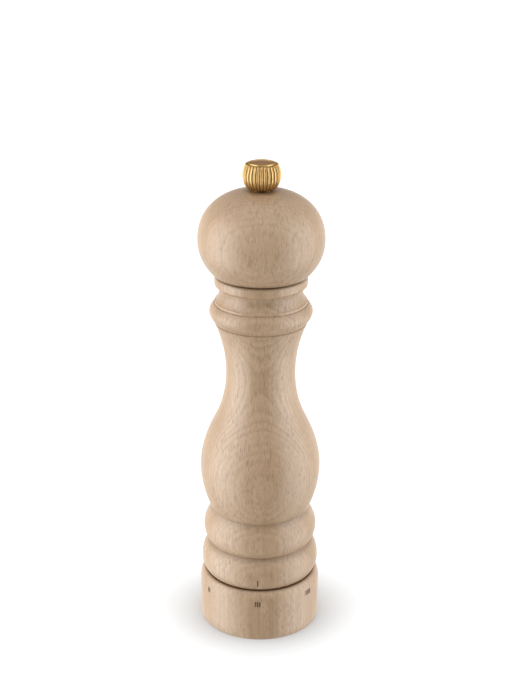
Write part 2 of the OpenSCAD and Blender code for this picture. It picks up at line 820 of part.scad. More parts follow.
module click_spring() {
    color(STEEL)
        difference() {
            union() {
                intersection() {
                    ring(leaf_track + leaf_width / 2, leaf_track - leaf_width / 2,
                         leaf_z, leaf_top);
                    rotate([0, 0, BACK])
                        sector(sleeve_radius + OVER, 2 * rivet_spread + LEAF_END,
                               leaf_z - OVER, leaf_top + OVER);
                }
                rotate([0, 0, BACK + nose_angle])
                    translate([leaf_track, 0, nose_z]) {
                        intersection() {
                            rotate([0, 90, 0])
                                cylinder(r = nose_radius - stack_gap, h = nose_width, center = true);
                            translate([-nose_width, -nose_radius, -nose_radius])
                                cube([2 * nose_width, 2 * nose_radius, nose_radius + leaf_thickness / 2]);
                        }
                        rotate([-atan(finger_drop / finger_length), 0, 0])
                            translate([-nose_width / 2, -finger_length, -leaf_thickness / 2])
                                cube([nose_width, finger_length, leaf_thickness]);
                    }
            }
            at_click_rivets()
                column(rivet_radius + seat_fit, leaf_z - OVER, leaf_top + OVER);
        }
}

module click_rivets() {
    color(DARK_STEEL)
        at_click_rivets() {
            column(rivet_radius, leaf_z - stack_gap - WELD, foot_z + flange_thickness);
            column(rivet_head_radius, leaf_z - stack_gap - rivet_head_height, leaf_z - stack_gap);
        }
}

module slide_washer() {
    color(NYLON)
        ring(sleeve_radius - 1, land_bore, slide_washer_z,
             slide_washer_z + slide_washer_thickness);
}

module snap_ring() {
    color(DARK_STEEL)
        difference() {
            ring(snap_ring_radius, tube_radius - snap_groove + seat_fit,
                 snap_z + SLIT, snap_z + snap_thickness - SLIT);
            rotate([0, 0, BACK])
                sector(snap_ring_radius + OVER, snap_opening, snap_z - OVER, snap_z + snap_thickness + OVER);
        }
}

// Selector ring and sleeve

module adjusting_ring() {
    color(BEECH)
        difference() {
            rotate_extrude()
                polygon(concat([[ring_bore_radius, 0]], ring_side(),
                               [[ring_bore_radius, ring_height]]));
            for (i = [1:settings])
                scale_mark(i);
        }
}

// One mark: as many upright bars as its setting's number
module scale_mark(count) {
    for (bar = [1:count])
        rotate([0, 0, index_angle + setting_angle * (count - rest_setting)
                      + (bar - (count + 1) / 2) * bar_pitch * 180 / (PI * ring_brow_radius)])
            translate([ring_brow_radius - mark_depth, -bar_width / 2, bar_level - bar_height / 2])
                cube([2, bar_width, bar_height]);
}

module selector_sleeve() {
    color(BLACK_PLASTIC)
        difference() {
            union() {
                column(sleeve_radius, sleeve_z, track_z);
                column(track_radius, track_z - WELD, rim_top_z);
            }
            column(thread_bore, sleeve_z - OVER, land_z);
            column(land_bore, land_z - WELD, rim_top_z + OVER);
            for (i = [1:settings])
                rotate([0, 0, BACK + nose_angle + setting_angle * (i - rest_setting)])
                    translate([track_radius + WELD, 0, nose_z])
                        rotate([0, 90, 0])
                            cylinder(r = nose_radius, h = sleeve_radius);
        }
}

// Burr carrier and female burr

module burr_carrier() {
    color(BLACK_PLASTIC)
        difference() {
            union() {
                column(carrier_radius, carrier_z, carrier_top_z);
                at_thirds(FRONT)
                    sector(thread_radius, lug_angle, lug_z, lug_z + lug_height);
            }
            column(carrier_lip_radius, carrier_z - OVER, carrier_top_z + OVER);
            column(female_radius + seat_fit, carrier_z - OVER, female_top_z + seat_fit);
            ring(female_radius + burr_ring_depth, female_radius - OVER,
                 burr_ring_z, burr_ring_z + burr_ring_thickness);
        }
}

module burr_retaining_ring() {
    color(DARK_STEEL)
        difference() {
            ring(female_radius + burr_ring_depth - seat_fit, female_radius - burr_ring_ledge,
                 burr_ring_z + SLIT, burr_ring_z + burr_ring_thickness - SLIT);
            sector(female_radius + burr_ring_depth + OVER, burr_ring_opening,
                   burr_ring_z - OVER, burr_ring_z + burr_ring_thickness + OVER);
        }
}

module female_burr() {
    color(DARK_STEEL)
        difference() {
            column(female_radius, female_z, female_top_z);
            rotate_extrude()
                polygon([[0, female_z - OVER], [female_mouth + mouth_slope * OVER, female_z - OVER],
                         [female_throat, fine_top_z], [female_throat, female_top_z - coarse_step],
                         [female_throat + coarse_step, female_top_z + WELD], [0, female_top_z + WELD]]);
            for (i = [0:fine_teeth / 3 - 1])
                rotate([0, 0, i * 1080 / fine_teeth])
                    translate([female_throat + throat_groove_depth, 0, fine_top_z - OVER])
                        rotate([throat_slant, 0, 0])
                            translate([-2 * throat_groove_depth, -throat_groove_width / 2, 0])
                                cube([2 * throat_groove_depth, throat_groove_width, female_height]);
            for (i = [0:fine_teeth - 1])
                rotate([0, 0, (i + 0.5) * 360 / fine_teeth])
                    translate([female_mouth, 0, female_z - OVER])
                        rotate([fine_slant, -atan(mouth_slope), 0])
                            translate([-fine_groove_depth, -fine_groove_width / 2, 0])
                                cube([2 * fine_groove_depth, fine_groove_width, fine_height + OVER]);
        }
}

// Shaft and male burr

module male_burr() {
    color(DARK_STEEL)
        difference() {
            rotate_extrude()
                polygon([[0, male_z], [male_mouth - mouth_slope * male_lift, male_z],
                         [male_throat, fine_top_z], [male_waist, fine_top_z + 1.25 * coarse_step],
                         [male_top_radius, male_top_z], [0, male_top_z]]);
            square_bar(square_hole, male_z - OVER, male_top_z + OVER);
            for (i = [0:coarse_teeth - 1])
                rotate([0, 0, i * 360 / coarse_teeth])
                    coarse_groove();
            for (i = [0:fine_teeth - 1])
                rotate([0, 0, i * 360 / fine_teeth])
                    translate([male_mouth, 0, male_z - OVER])
                        rotate([-fine_slant, -atan(mouth_slope), 0])
                            translate([-fine_groove_depth, -fine_groove_width / 2, 0])
                                cube([2 * fine_groove_depth, fine_groove_width, fine_height + OVER]);
        }
}

// A slanting groove that draws the grain down between the burrs
module coarse_groove() {
    waist_z = fine_top_z + 1.25 * coarse_step;
    lean = atan((male_waist - male_top_radius) / (male_top_z - waist_z));
    translate([male_waist + OVER, 0, waist_z - 2 * OVER])
        rotate([-coarse_slant, -lean, 0])
            translate([-coarse_groove_depth / 2, -coarse_groove_width / 2, 0])
                cube([coarse_groove_depth + OVER, coarse_groove_width, male_height]);
}

module drive_shaft() {
    color(STEEL)
        difference() {
            union() {
                intersection() {
                    square_bar(shaft_width, square_z, square_top_z);
                    column(shaft_corner_radius, square_z, square_top_z);
                }
                column(tail_radius, tail_z, square_z + WELD);
                column(stud_radius, square_top_z - WELD, stud_top_z);
            }
            ring(shaft_corner_radius + OVER, clip_groove_radius,
                 clip_z - SLIT, clip_z + clip_thickness + SLIT);
        }
}

module shaft_clip() {
    color(DARK_STEEL)
        difference() {
            ring(clip_radius, clip_groove_radius + seat_fit, clip_z, clip_z + clip_thickness);
            translate([0, -clip_groove_radius + 0.6, clip_z - OVER])
                cube([clip_radius + OVER, 2 * clip_groove_radius - 1.2, clip_thickness + 2 * OVER]);
        }
}

module thrust_washer() {
    color(NYLON)
        ring(bush_collar_radius - 0.5, corner_bore, thrust_washer_z,
             thrust_washer_z + thrust_washer_thickness);
}

module spring_washer() {
    color(STEEL)
        ring(spring_coil_radius + spring_wire_radius + 0.5, corner_bore,
             spring_washer_z, spring_washer_z + spring_washer_thickness);
}

// Height of the spring's wire after a share t of its turns: close coils at both ends
function spring_height(t) = let (dead = 1 / spring_coils, wire = 2 * spring_wire_radius + 0.05,
        low = spring_z + spring_wire_radius, high = spring_top_z - spring_wire_radius)
    t < dead ? low + wire * t / dead
    : t > 1 - dead ? high - wire * (1 - t) / dead
    : low + wire + (high - low - 2 * wire) * (t - dead) / (1 - 2 * dead);

module shaft_spring() {
    sides = 8;
    steps = spring_coils * 20;
    points = [for (i = [0:steps]) let (t = i / steps, turn = 360 * spring_coils * t)
              for (j = [0:sides - 1]) let (a = 360 * j / sides,
                  r = spring_coil_radius + spring_wire_radius * cos(a))
              [r * cos(turn), r * sin(turn), spring_height(t) + spring_wire_radius * sin(a)]];
    walls = [for (i = [0:steps - 1], j = [0:sides - 1]) let (k = (j + 1) % sides)
             [i * sides + j, i * sides + k, (i + 1) * sides + k, (i + 1) * sides + j]];
    caps = [[for (j = [sides - 1:-1:0]) j], [for (j = [0:sides - 1]) steps * sides + j]];
    color(STEEL)
        polyhedron(points, concat(walls, caps));
}

module burr_washer() {
    color(STEEL)
        ring(burr_washer_radius, tail_radius + seat_fit, burr_washer_z + SLIT, male_z - SLIT);
}

module burr_nut() {
    color(STEEL)
        difference() {
            translate([0, 0, burr_nut_z])
                cylinder(r = burr_nut_radius, h = burr_nut_height, $fn = 6);
            column(tail_radius + seat_fit, burr_nut_z - OVER, burr_washer_z + OVER);
        }
}

top_knob();
knob_washer();
head();
drive_plate();
plate_screws();
mill_body();
mechanism_housing();
housing_screws();
bridge();
shaft_bush();
click_spring();
click_rivets();
slide_washer();
snap_ring();
adjusting_ring();
selector_sleeve();
burr_carrier();
female_burr();
burr_retaining_ring();
drive_shaft();
shaft_clip();
thrust_washer();
shaft_spring();
spring_washer();
male_burr();
burr_washer();
burr_nut();
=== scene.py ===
"""Looks of a turned beech pepper mill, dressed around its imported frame.

The wooden pieces and the brass knob are turned surfaces, worked out as whole
numpy grids. The mechanism keeps the frame's own solids and gets machined,
moulded and hardened finishes. Shapes are written in millimetres, and turned
into metres where a mesh is made.
"""

import json
import logging
from dataclasses import dataclass, field
from enum import Enum
from math import radians

import bpy
import numpy as np
from mathutils import Matrix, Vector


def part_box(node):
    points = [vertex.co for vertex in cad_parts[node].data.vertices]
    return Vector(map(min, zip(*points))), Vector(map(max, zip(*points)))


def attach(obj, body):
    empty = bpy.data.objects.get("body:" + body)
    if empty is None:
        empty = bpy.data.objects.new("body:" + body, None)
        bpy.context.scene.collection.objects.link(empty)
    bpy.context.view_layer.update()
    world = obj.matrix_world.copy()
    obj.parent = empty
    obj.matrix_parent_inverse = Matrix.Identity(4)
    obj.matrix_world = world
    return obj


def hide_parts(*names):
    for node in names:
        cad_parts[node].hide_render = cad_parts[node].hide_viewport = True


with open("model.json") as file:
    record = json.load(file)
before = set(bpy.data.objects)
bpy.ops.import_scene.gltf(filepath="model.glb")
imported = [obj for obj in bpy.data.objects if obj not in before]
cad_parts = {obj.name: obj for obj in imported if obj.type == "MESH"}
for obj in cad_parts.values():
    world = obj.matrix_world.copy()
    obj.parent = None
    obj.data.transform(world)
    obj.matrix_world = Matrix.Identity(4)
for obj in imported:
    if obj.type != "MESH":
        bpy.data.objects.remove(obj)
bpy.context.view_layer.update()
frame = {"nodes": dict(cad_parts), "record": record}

LOG = logging.getLogger("pepper_mill")
MM = 0.001
WHOLE_TURN = 2.0 * np.pi
# Heading of the index mark, and of the ring's marks at rest, round the axis.
FRONT = radians(-91.8)
# Points of an outline that are closer than this, in mm, count as one.
SAME_PLACE = 1e-4
# Stands in for a length of nothing where a length divides.
LEAST_LENGTH = 1e-9
WHITE = (1.0, 1.0, 1.0, 1.0)

Pair = tuple[float, float]
Triple = tuple[float, float, float]
Colour = tuple[float, float, float]
Pairs = tuple[Pair, ...]
Socket = bpy.types.NodeSocket


class Slot(Enum):
    """The material slots that the frame's record names."""

    BEECH = "beech"
    BRASS = "brass"
    STEEL = "steel"
    DARK_STEEL = "dark_steel"
    BURR_STEEL = "burr_steel"
    NYLON = "nylon"
    BLACK_PLASTIC = "black_plastic"


# ---------------------------------------------------------------- outlines


@dataclass(frozen=True)
class Station:
    """A place on a turned outline, in millimetres.

    Args:
        radius: distance from the axis.
        height: height above the table. In the size fields of a class it is
            the height above the place before it instead.
        slope: change of the radius per height there.
    """

    radius: float
    height: float
    slope: float = 0.0

    def moved(self, up: float, slope: float) -> "Station":
        """The same radius a little higher, with another slope."""
        return Station(self.radius, self.height + up, slope)


def bend(start: Pair, leave: Pair, end: Pair, arrive: Pair, steps: int) -> np.ndarray:
    """Points of a smooth bend between two places.

    The bend is the cubic that starts at start along leave and ends at end
    along arrive: each of the four is weighted by its own cubic of the share
    of the way, and the four are added.

    Args:
        start: the first point, as (radius, height).
        leave: direction and pull with which the bend starts.
        end: the last point.
        arrive: direction and pull with which it ends.
        steps: number of steps from start to end.

    Returns:
        An array of steps + 1 points.
    """
    u = np.linspace(0.0, 1.0, steps + 1)[:, None]
    v = 1.0 - u
    start, leave, end, arrive = (np.asarray(p, float) for p in (start, leave, end, arrive))
    return (
        v * v * (1.0 + 2.0 * u) * start
        + u * v * v * leave
        + u * u * (3.0 - 2.0 * u) * end
        - u * u * v * arrive
    )


def rise(low: Station, high: Station, steps: int = 20) -> np.ndarray:
    """Points of a bend whose height grows evenly from one station to the next.

    Args:
        low: the lower station.
        high: the upper station.
        steps: number of steps between them.

    Returns:
        An array of steps + 1 points.
    """
    span = high.height - low.height
    leave, arrive = (low.slope * span, span), (high.slope * span, span)
    return bend((low.radius, low.height), leave, (high.radius, high.height), arrive, steps)


def path(*parts: object) -> np.ndarray:
    """Joins points and runs of points to one outline, leaving out repeats.

    Args:
        parts: single (radius, height) pairs or arrays of them, in order.

    Returns:
        The outline as an array of (radius, height) rows.
    """
    joined = np.vstack([np.atleast_2d(np.asarray(part, float)) for part in parts])
    step = np.linalg.norm(np.diff(joined, axis=0), axis=1)
    return joined[np.concatenate(([True], step > SAME_PLACE))]


def with_levels(outline: np.ndarray, levels: np.ndarray) -> np.ndarray:
    """Adds points at given heights to an outline that rises all the way.

    Each new radius lies on the straight line between its neighbours.
    """
    heights = np.unique(np.concatenate((outline[:, 1], levels)))
    return np.column_stack((np.interp(heights, outline[:, 1], outline[:, 0]), heights))


# ------------------------------------------------------------------ meshes


def smooth_mesh(name: str, places: np.ndarray, faces: list[list[int]]) -> bpy.types.Mesh:
    """Makes a mesh that shades smoothly.

    Args:
        name: name of the mesh.
        places: its places, in metres.
        faces: the corner numbers of each face.

    Returns:
        The mesh.
    """
    mesh = bpy.data.meshes.new(name)
    mesh.from_pydata(places.tolist(), [], faces)
    mesh.polygons.foreach_set("use_smooth", np.ones(len(mesh.polygons), bool))
    return mesh


@dataclass
class Turning:
    """A surface of revolution on a grid of profile rows and angle columns.

    Args:
        name: name of the piece.
        radii: radius of each row and column, in millimetres.
        heights: height of each row and column.
        angles: angle of each column, in radians, within one turn.
        poles: True where the first and the last row are points on the axis;
            otherwise the profile closes on itself and leaves a bore.
        marks: numbers stored on the points, by name, one for each row and column.
        face_marks: numbers stored on the faces, by name, one for each row of faces.
    """

    name: str
    radii: np.ndarray
    heights: np.ndarray
    angles: np.ndarray
    poles: bool = False
    marks: dict[str, np.ndarray] = field(default_factory=dict)
    face_marks: dict[str, np.ndarray] = field(default_factory=dict)

    def points(self) -> np.ndarray:
        """Places in metres, by row and column: (r cos a, r sin a, z)."""
        across = (self.radii * np.cos(self.angles), self.radii * np.sin(self.angles))
        return np.stack((*across, self.heights), axis=-1) * MM

    def quads(self, rows: int, columns: int) -> np.ndarray:
        """Corner numbers of the faces between neighbouring rows and columns.

        A face goes round its cell from (row, column) over the next column and
        the next row, which turns it outwards where the profile runs up the
        outside.

        Args:
            rows: number of rows of places.
            columns: number of columns of places.

        Returns:
            Four corner numbers for each face.
        """
        row, column = np.meshgrid(
            np.arange(rows - 1 if self.poles else rows), np.arange(columns), indexing="ij"
        )
        next_row, next_column = (row + 1) % rows, (column + 1) % columns
        corners = (
            row * columns + column,
            row * columns + next_column,
            next_row * columns + next_column,
            next_row * columns + column,
        )
        return np.stack(corners, axis=-1).reshape(-1, 4)

    def shell(self) -> tuple[np.ndarray, list[list[int]]]:
        """The surface's places and faces.

        With poles, the first and the last row shrink to one place each. Both
        are kept at the end, and a fan of triangles closes on each.

        Returns:
            The places in metres, and the corner numbers of each face.
        """
        places = self.points()
        rows, columns = self.radii.shape
        if not self.poles:
            return places.reshape(-1, 3), self.quads(rows, columns).tolist()
        rows -= 2
        here = np.arange(columns)
        after = (here + 1) % columns
        pole = np.full(columns, rows * columns)
        last = (rows - 1) * columns
        first_fan = np.stack((pole, after, here), axis=-1)
        last_fan = np.stack((last + here, last + after, pole + 1), axis=-1)
        between = self.quads(rows, columns)
        faces = between.tolist() + first_fan.tolist() + last_fan.tolist()
        return np.vstack((places[1:-1].reshape(-1, 3), places[[0, -1], 0])), faces

    def in_order(self, values: np.ndarray) -> np.ndarray:
        """Puts a mark's values in the order of the shell's places.

        Args:
            values: one value for each row and column.

        Returns:
            One value for each place, the poles' own at the end.
        """
        if not self.poles:
            return values.ravel()
        return np.concatenate((values[1:-1].ravel(), values[[0, -1], 0]))

    def build(self, sharp_angle: float = 38.0) -> bpy.types.Object:
        """Makes the mesh object.

        Args:
            sharp_angle: edges that turn by more degrees than this stay crisp.

        Returns:
            The object, at the origin, linked to the scene.
        """
        mesh = smooth_mesh(self.name, *self.shell())
        stored = [(mark, "POINT", self.in_order(values)) for mark, values in self.marks.items()]
        for mark, values in self.face_marks.items():
            stored.append((mark, "FACE", np.repeat(values, self.angles.size)))
        for mark, domain, values in stored:
            layer = mesh.attributes.new(mark, "FLOAT", domain)
            layer.data.foreach_set("value", values.astype(np.float32))
        mesh.set_sharp_from_angle(angle=radians(sharp_angle))
        mesh.update()
        piece = bpy.data.objects.new(self.name, mesh)
        bpy.context.scene.collection.objects.link(piece)
        return piece


@dataclass(frozen=True)
class Cut:
    """A short upright bar burnt into a turned side.

    Args:
        angle: angle of its middle, in radians.
        low: height of its lower end, in mm.
        high: height of its upper end.
        width: its width along the side.
        depth: its depth.
        wall: width of its sloping walls.
        halo: width of the scorched edge around it.
        halo_strength: how burnt that edge is next to the bar, from 0 to 1.
    """

    angle: float
    low: float
    high: float
    width: float
    depth: float = 0.25
    wall: float = 0.06
    halo: float = 0.14
    halo_strength: float = 0.6

    def columns(self, radius: float) -> np.ndarray:
        """Angles at which the bar's edge, walls and scorched edge begin.

        Args:
            radius: radius of the side that the bar is burnt into.

        Returns:
            Six angles in radians, from one side of the bar to the other.
        """
        half = self.width / 2.0
        offsets = np.array((half - self.wall, half, half + self.halo))
        return self.angle + np.concatenate((-offsets[::-1], offsets)) / radius

    def levels(self) -> np.ndarray:
        """Heights at which they begin."""
        offsets = np.array((-self.halo, 0.0, self.wall))
        return np.concatenate((self.low + offsets, self.high - offsets[::-1]))

    def margin(self, across: np.ndarray, heights: np.ndarray) -> np.ndarray:
        """How far a place lies inside the bar's nearest edge; less than nothing is outside.

        Args:
            across: distance from the bar's middle line, along the side.
            heights: height of the place.

        Returns:
            The distance in mm, for each place.
        """
        to_side = self.width / 2.0 - np.abs(across)
        to_end = np.minimum(heights - self.low, self.high - heights)
        return np.minimum(to_side, to_end)

    def carve(
        self, radii: np.ndarray, heights: np.ndarray, angles: np.ndarray, scorch: np.ndarray
    ) -> None:
        """Cuts the bar into a grid and darkens it there.

        Args:
            radii: the grid's radii, changed in place.
            heights: the grid's heights.
            angles: its column angles.
            scorch: how burnt each place is, changed in place.
        """
        turn = (angles - self.angle + np.pi) % WHOLE_TURN - np.pi
        margin = self.margin(turn[None, :] * radii, heights)
        burnt = np.clip(margin / self.wall, 0.0, 1.0)
        edge = np.clip(1.0 + margin / self.halo, 0.0, 1.0)
        radii -= self.depth * burnt
        np.maximum(scorch, np.maximum(self.halo_strength * edge, burnt), out=scorch)


def spread_columns(
    count: int, cuts: list[Cut], radius: float, least_share: float = 0.1, digits: int = 9
) -> np.ndarray:
    """Even angles round the axis, with the angles that some cuts need.

    Args:
        count: number of even angles.
        cuts: the cuts, whose own angles are all kept.
        radius: radius of the side that they are cut into.
        least_share: even angles closer to a cut's own than this share of a
            step are left out.
        digits: decimals to which the cuts' angles are rounded.

    Returns:
        The angles in radians, growing.
    """
    even = np.arange(count) * WHOLE_TURN / count
    if not cuts:
        return even
    wanted = np.concatenate([cut.columns(radius) for cut in cuts]) % WHOLE_TURN
    wanted = np.unique(np.round(wanted, digits))
    gap = np.abs(even[:, None] - wanted[None, :]).min(axis=1)
    return np.sort(np.concatenate((even[gap > least_share * WHOLE_TURN / count], wanted)))


@dataclass(frozen=True)
class PaintedShade:
    """A level at which shade is painted into the wood's colour: a groove or a joint.

    Args:
        height: its level. In the size fields of a class it is the height
            above the place that the field is named after.
        spread: height over which it fades out, in mm.
        strength: how dark its middle is, from 0 to 1.
    """

    height: float
    spread: float
    strength: float

    def above(self, level: float) -> "PaintedShade":
        """The same painted shade, placed from a level."""
        return PaintedShade(level + self.height, self.spread, self.strength)

    def at(self, heights: np.ndarray) -> np.ndarray:
        """Bell curve round the level: strength times e to the minus ((z - height) / spread)^2."""
        return self.strength * np.exp(-(((heights - self.height) / self.spread) ** 2))


def turn_profile(
    name: str,
    side: np.ndarray,
    core: np.ndarray,
    cuts: list[Cut],
    painted_shades: list[PaintedShade],
    count: int = 224,
) -> Turning:
    """A bored turning: an outer side that runs up, and a core that runs back down.

    Args:
        name: name of the piece.
        side: outer outline from the bottom to the top.
        core: the rest of the closed profile, from the top back to the bottom.
        cuts: bars burnt into the outer side.
        painted_shades: levels at which shade is painted into the wood.
        count: number of even columns.

    Returns:
        The turning, with its scorch and painted shade values, and with how far each
        ring of faces is cut across the fibres: its width over its length.
    """
    levels = np.concatenate([cut.levels() for cut in cuts]) if cuts else np.empty(0)
    outer = with_levels(side, levels)
    angles = spread_columns(count, cuts, float(side[:, 0].max()))
    profile = np.vstack((outer, core))
    radii = np.repeat(profile[:, :1], angles.size, axis=1)
    heights = np.repeat(profile[:, 1:], angles.size, axis=1)
    scorch = np.zeros_like(radii)
    rows = slice(0, len(outer))
    for cut in cuts:
        cut.carve(radii[rows], heights[rows], angles, scorch[rows])
    # Painted shade: the wood is darkened in bands round the grooves and joints, where they would
    # lie in shade.
    marks = {"scorch": scorch, "painted_shade": np.max([painted_shade.at(heights) for painted_shade in painted_shades], axis=0)}
    step = np.roll(profile, -1, axis=0) - profile
    length = np.maximum(np.linalg.norm(step, axis=1), LEAST_LENGTH)
    ends = {"ends": np.abs(step[:, 0]) / length}
    return Turning(name, radii, heights, angles, marks=marks, face_marks=ends)


# ---------------------------------------------------------------- finishes


class Nodes:
    """A tree of shader nodes, with short calls to add and link them."""

    def __init__(self, tree: bpy.types.NodeTree) -> None:
        """Takes the tree that the nodes go into."""
        self.tree = tree

    def feed(self, socket: Socket, value: object) -> None:
        """Links a socket to another, or sets it.

        Args:
            socket: the socket of a node's input.
            value: another node's output, or a number, a vector or a colour.
        """
        if isinstance(value, Socket):
            self.tree.links.new(value, socket)
        elif isinstance(value, tuple) and len(value) == 3 and socket.type == "RGBA":
            socket.default_value = (*value, 1.0)
        else:
            socket.default_value = value

    def node(
        self, kind: str, inputs: dict[str | int, object] | None = None, **options: object
    ) -> bpy.types.Node:
        """Adds a node.

        Args:
            kind: its type.
            inputs: what goes into its sockets, by their names or numbers.
            options: its other settings, by name.

        Returns:
            The new node.
        """
        made = self.tree.nodes.new(kind)
        for name, value in options.items():
            setattr(made, name, value)
        for socket, value in (inputs or {}).items():
            self.feed(made.inputs[socket], value)
        return made

    def step(self, source: Socket, span: Pair, ends: Pair) -> Socket:
        """Smooth step of a value from one end to the other over a span.

        Args:
            source: the value.
            span: where the step begins and ends.
            ends: the result before and after it.

        Returns:
            The stepped value.
        """
        limits = zip(("From Min", "From Max", "To Min", "To Max"), (*span, *ends))
        inputs = {"Value": source, **dict(limits)}
        made = self.node("ShaderNodeMapRange", inputs, interpolation_type="SMOOTHSTEP")
        return made.outputs["Result"]

    def fade(self, share: Socket, source: Socket, end: float) -> Socket:
        """Fades a value to an end value by a share."""
        made = self.node("ShaderNodeMix", {"Factor": share, "A": source, "B": end})
        return made.outputs["Result"]


class Graph(Nodes):
    """A material's nodes, with short calls for those that the finishes use."""

    def __init__(self, name: str) -> None:
        """Starts a material with a Principled shader and its own coordinates.

        Args:
            name: name of the material.
        """
        self.material = bpy.data.materials.new(name)
        self.material.use_nodes = True
        super().__init__(self.material.node_tree)
        self.shader = self.tree.nodes["Principled BSDF"]
        self.place = self.node("ShaderNodeTexCoord").outputs["Object"]

    def math(self, operation: str, first: object, second: object = 0.0) -> Socket:
        """Result of one Math node."""
        return self.node("ShaderNodeMath", {0: first, 1: second}, operation=operation).outputs[0]

    def times(self, first: object, second: object) -> Socket:
        """Product of two values."""
        return self.math("MULTIPLY", first, second)

    def millimetres(self, shift: Triple = (0.0, 0.0, 0.0)) -> Socket:
        """The piece's own coordinates in millimetres, moved by shift."""
        return self.stretched(self.place, (1.0 / MM, 1.0 / MM, 1.0 / MM), shift)

    def stretched(self, vector: Socket, scale: Triple, shift: Triple = (0.0, 0.0, 0.0)) -> Socket:
        """A vector scaled by axis, then moved."""
        inputs = {"Vector": vector, "Scale": scale, "Location": shift}
        return self.node("ShaderNodeMapping", inputs).outputs[0]

    def noise(
        self, vector: Socket, scale: float = 1.0, detail: float = 2.0, rough: float = 0.5
    ) -> Socket:
        """Smooth noise from 0 to 1."""
        inputs = {"Vector": vector, "Scale": scale, "Detail": detail, "Roughness": rough}
        return self.node("ShaderNodeTexNoise", inputs).outputs[0]

    def spindles(self, vector: Socket, size: float, soft: float) -> Socket:
        """Soft separate blobs, one in each cell of a stretched space.

        A blob is 1 where the nearest cell point is closer than the blob's own
        size and falls to 0 over the width soft. The size of each blob is
        size times a random share of its cell.

        Args:
            vector: the stretched coordinates.
            size: largest size of a blob, in cells.
            soft: width of its soft edge.

        Returns:
            The blobs, from 0 to 1.
        """
        cells = self.node("ShaderNodeTexVoronoi", {"Vector": vector, "Scale": 1.0})
        share = self.node("ShaderNodeSeparateColor", {0: cells.outputs["Color"]}).outputs[0]
        gap = self.math("SUBTRACT", self.times(share, size), cells.outputs["Distance"])
        return self.held(self.math("DIVIDE", gap, soft))

    def held(self, value: Socket) -> Socket:
        """A value held between 0 and 1."""
        return self.node("ShaderNodeClamp", {0: value}).outputs[0]

    def ramp(self, value: Socket, stops: Pairs) -> Socket:
        """Reads a value off a line through some stops.

        Args:
            value: the value.
            stops: (position, height) pairs, with growing positions.

        Returns:
            The line's height at the value.
        """
        node = self.node("ShaderNodeValToRGB", {0: value})
        marks = node.color_ramp.elements
        while len(marks) < len(stops):
            marks.new(1.0)
        for mark, (position, height) in zip(marks, stops):
            mark.position = position
            mark.color = (height, height, height, 1.0)
        return node.outputs[0]

    def tinted(self, share: object, base: object, tint: object, mode: str = "MIX") -> Socket:
        """A base colour mixed with a tint by a share."""
        inputs = {0: share, 6: base, 7: tint}
        return self.node("ShaderNodeMix", inputs, data_type="RGBA", blend_type=mode).outputs[2]

    def shaded(self, base: object, shade: Socket) -> Socket:
        """A base colour multiplied by a shade."""
        return self.tinted(1.0, base, shade, "MULTIPLY")

    def ranged(self, value: Socket, low: float, high: float) -> Socket:
        """A value from 0..1 brought to low..high."""
        return self.math("ADD", self.times(value, high - low), low)

    def axis_distance(self, vector: Socket, centre: Pair = (0.0, 0.0)) -> Socket:
        """Distance from an upright axis through centre: the root of x squared plus y squared."""
        flat = self.stretched(vector, (1.0, 1.0, 0.0), (-centre[0], -centre[1], 0.0))
        return self.node("ShaderNodeVectorMath", {0: flat}, operation="LENGTH").outputs["Value"]

    def tool_lines(self, place: Socket, count: float, detail: float, rough: float) -> Socket:
        """Lines that a lathe leaves: noise over the distance from the axis and the height.

        Args:
            place: the piece's own coordinates in mm.
            count: number of lines per millimetre.
            detail: how many finer layers the noise has.
            rough: how strong they are.

        Returns:
            The lines' height, from 0 to 1.
        """
        height = self.node("ShaderNodeSeparateXYZ", {0: place}).outputs[2]
        across = self.node("ShaderNodeCombineXYZ", {0: self.axis_distance(place), 1: height})
        return self.noise(across.outputs[0], count, detail, rough)

    def bumped(self, height: Socket, depth_mm: float, strength: float) -> None:
        """Raises the surface by a height from 0 to 1 over depth_mm."""
        inputs = {"Height": height, "Distance": depth_mm * MM, "Strength": strength}
        self.feed(self.shader.inputs["Normal"], self.node("ShaderNodeBump", inputs).outputs[0])

    def attribute(self, name: str) -> Socket:
        """A number stored on the mesh."""
        return self.node("ShaderNodeAttribute", attribute_name=name).outputs["Fac"]

    def finish(self, **sockets: object) -> bpy.types.Material:
        """Sets the shader's sockets.

        Args:
            sockets: what goes into them, by name with _ for a space.

        Returns:
            The material.
        """
        for name, value in sockets.items():
            self.feed(self.shader.inputs[name.replace("_", " ")], value)
        return self.material


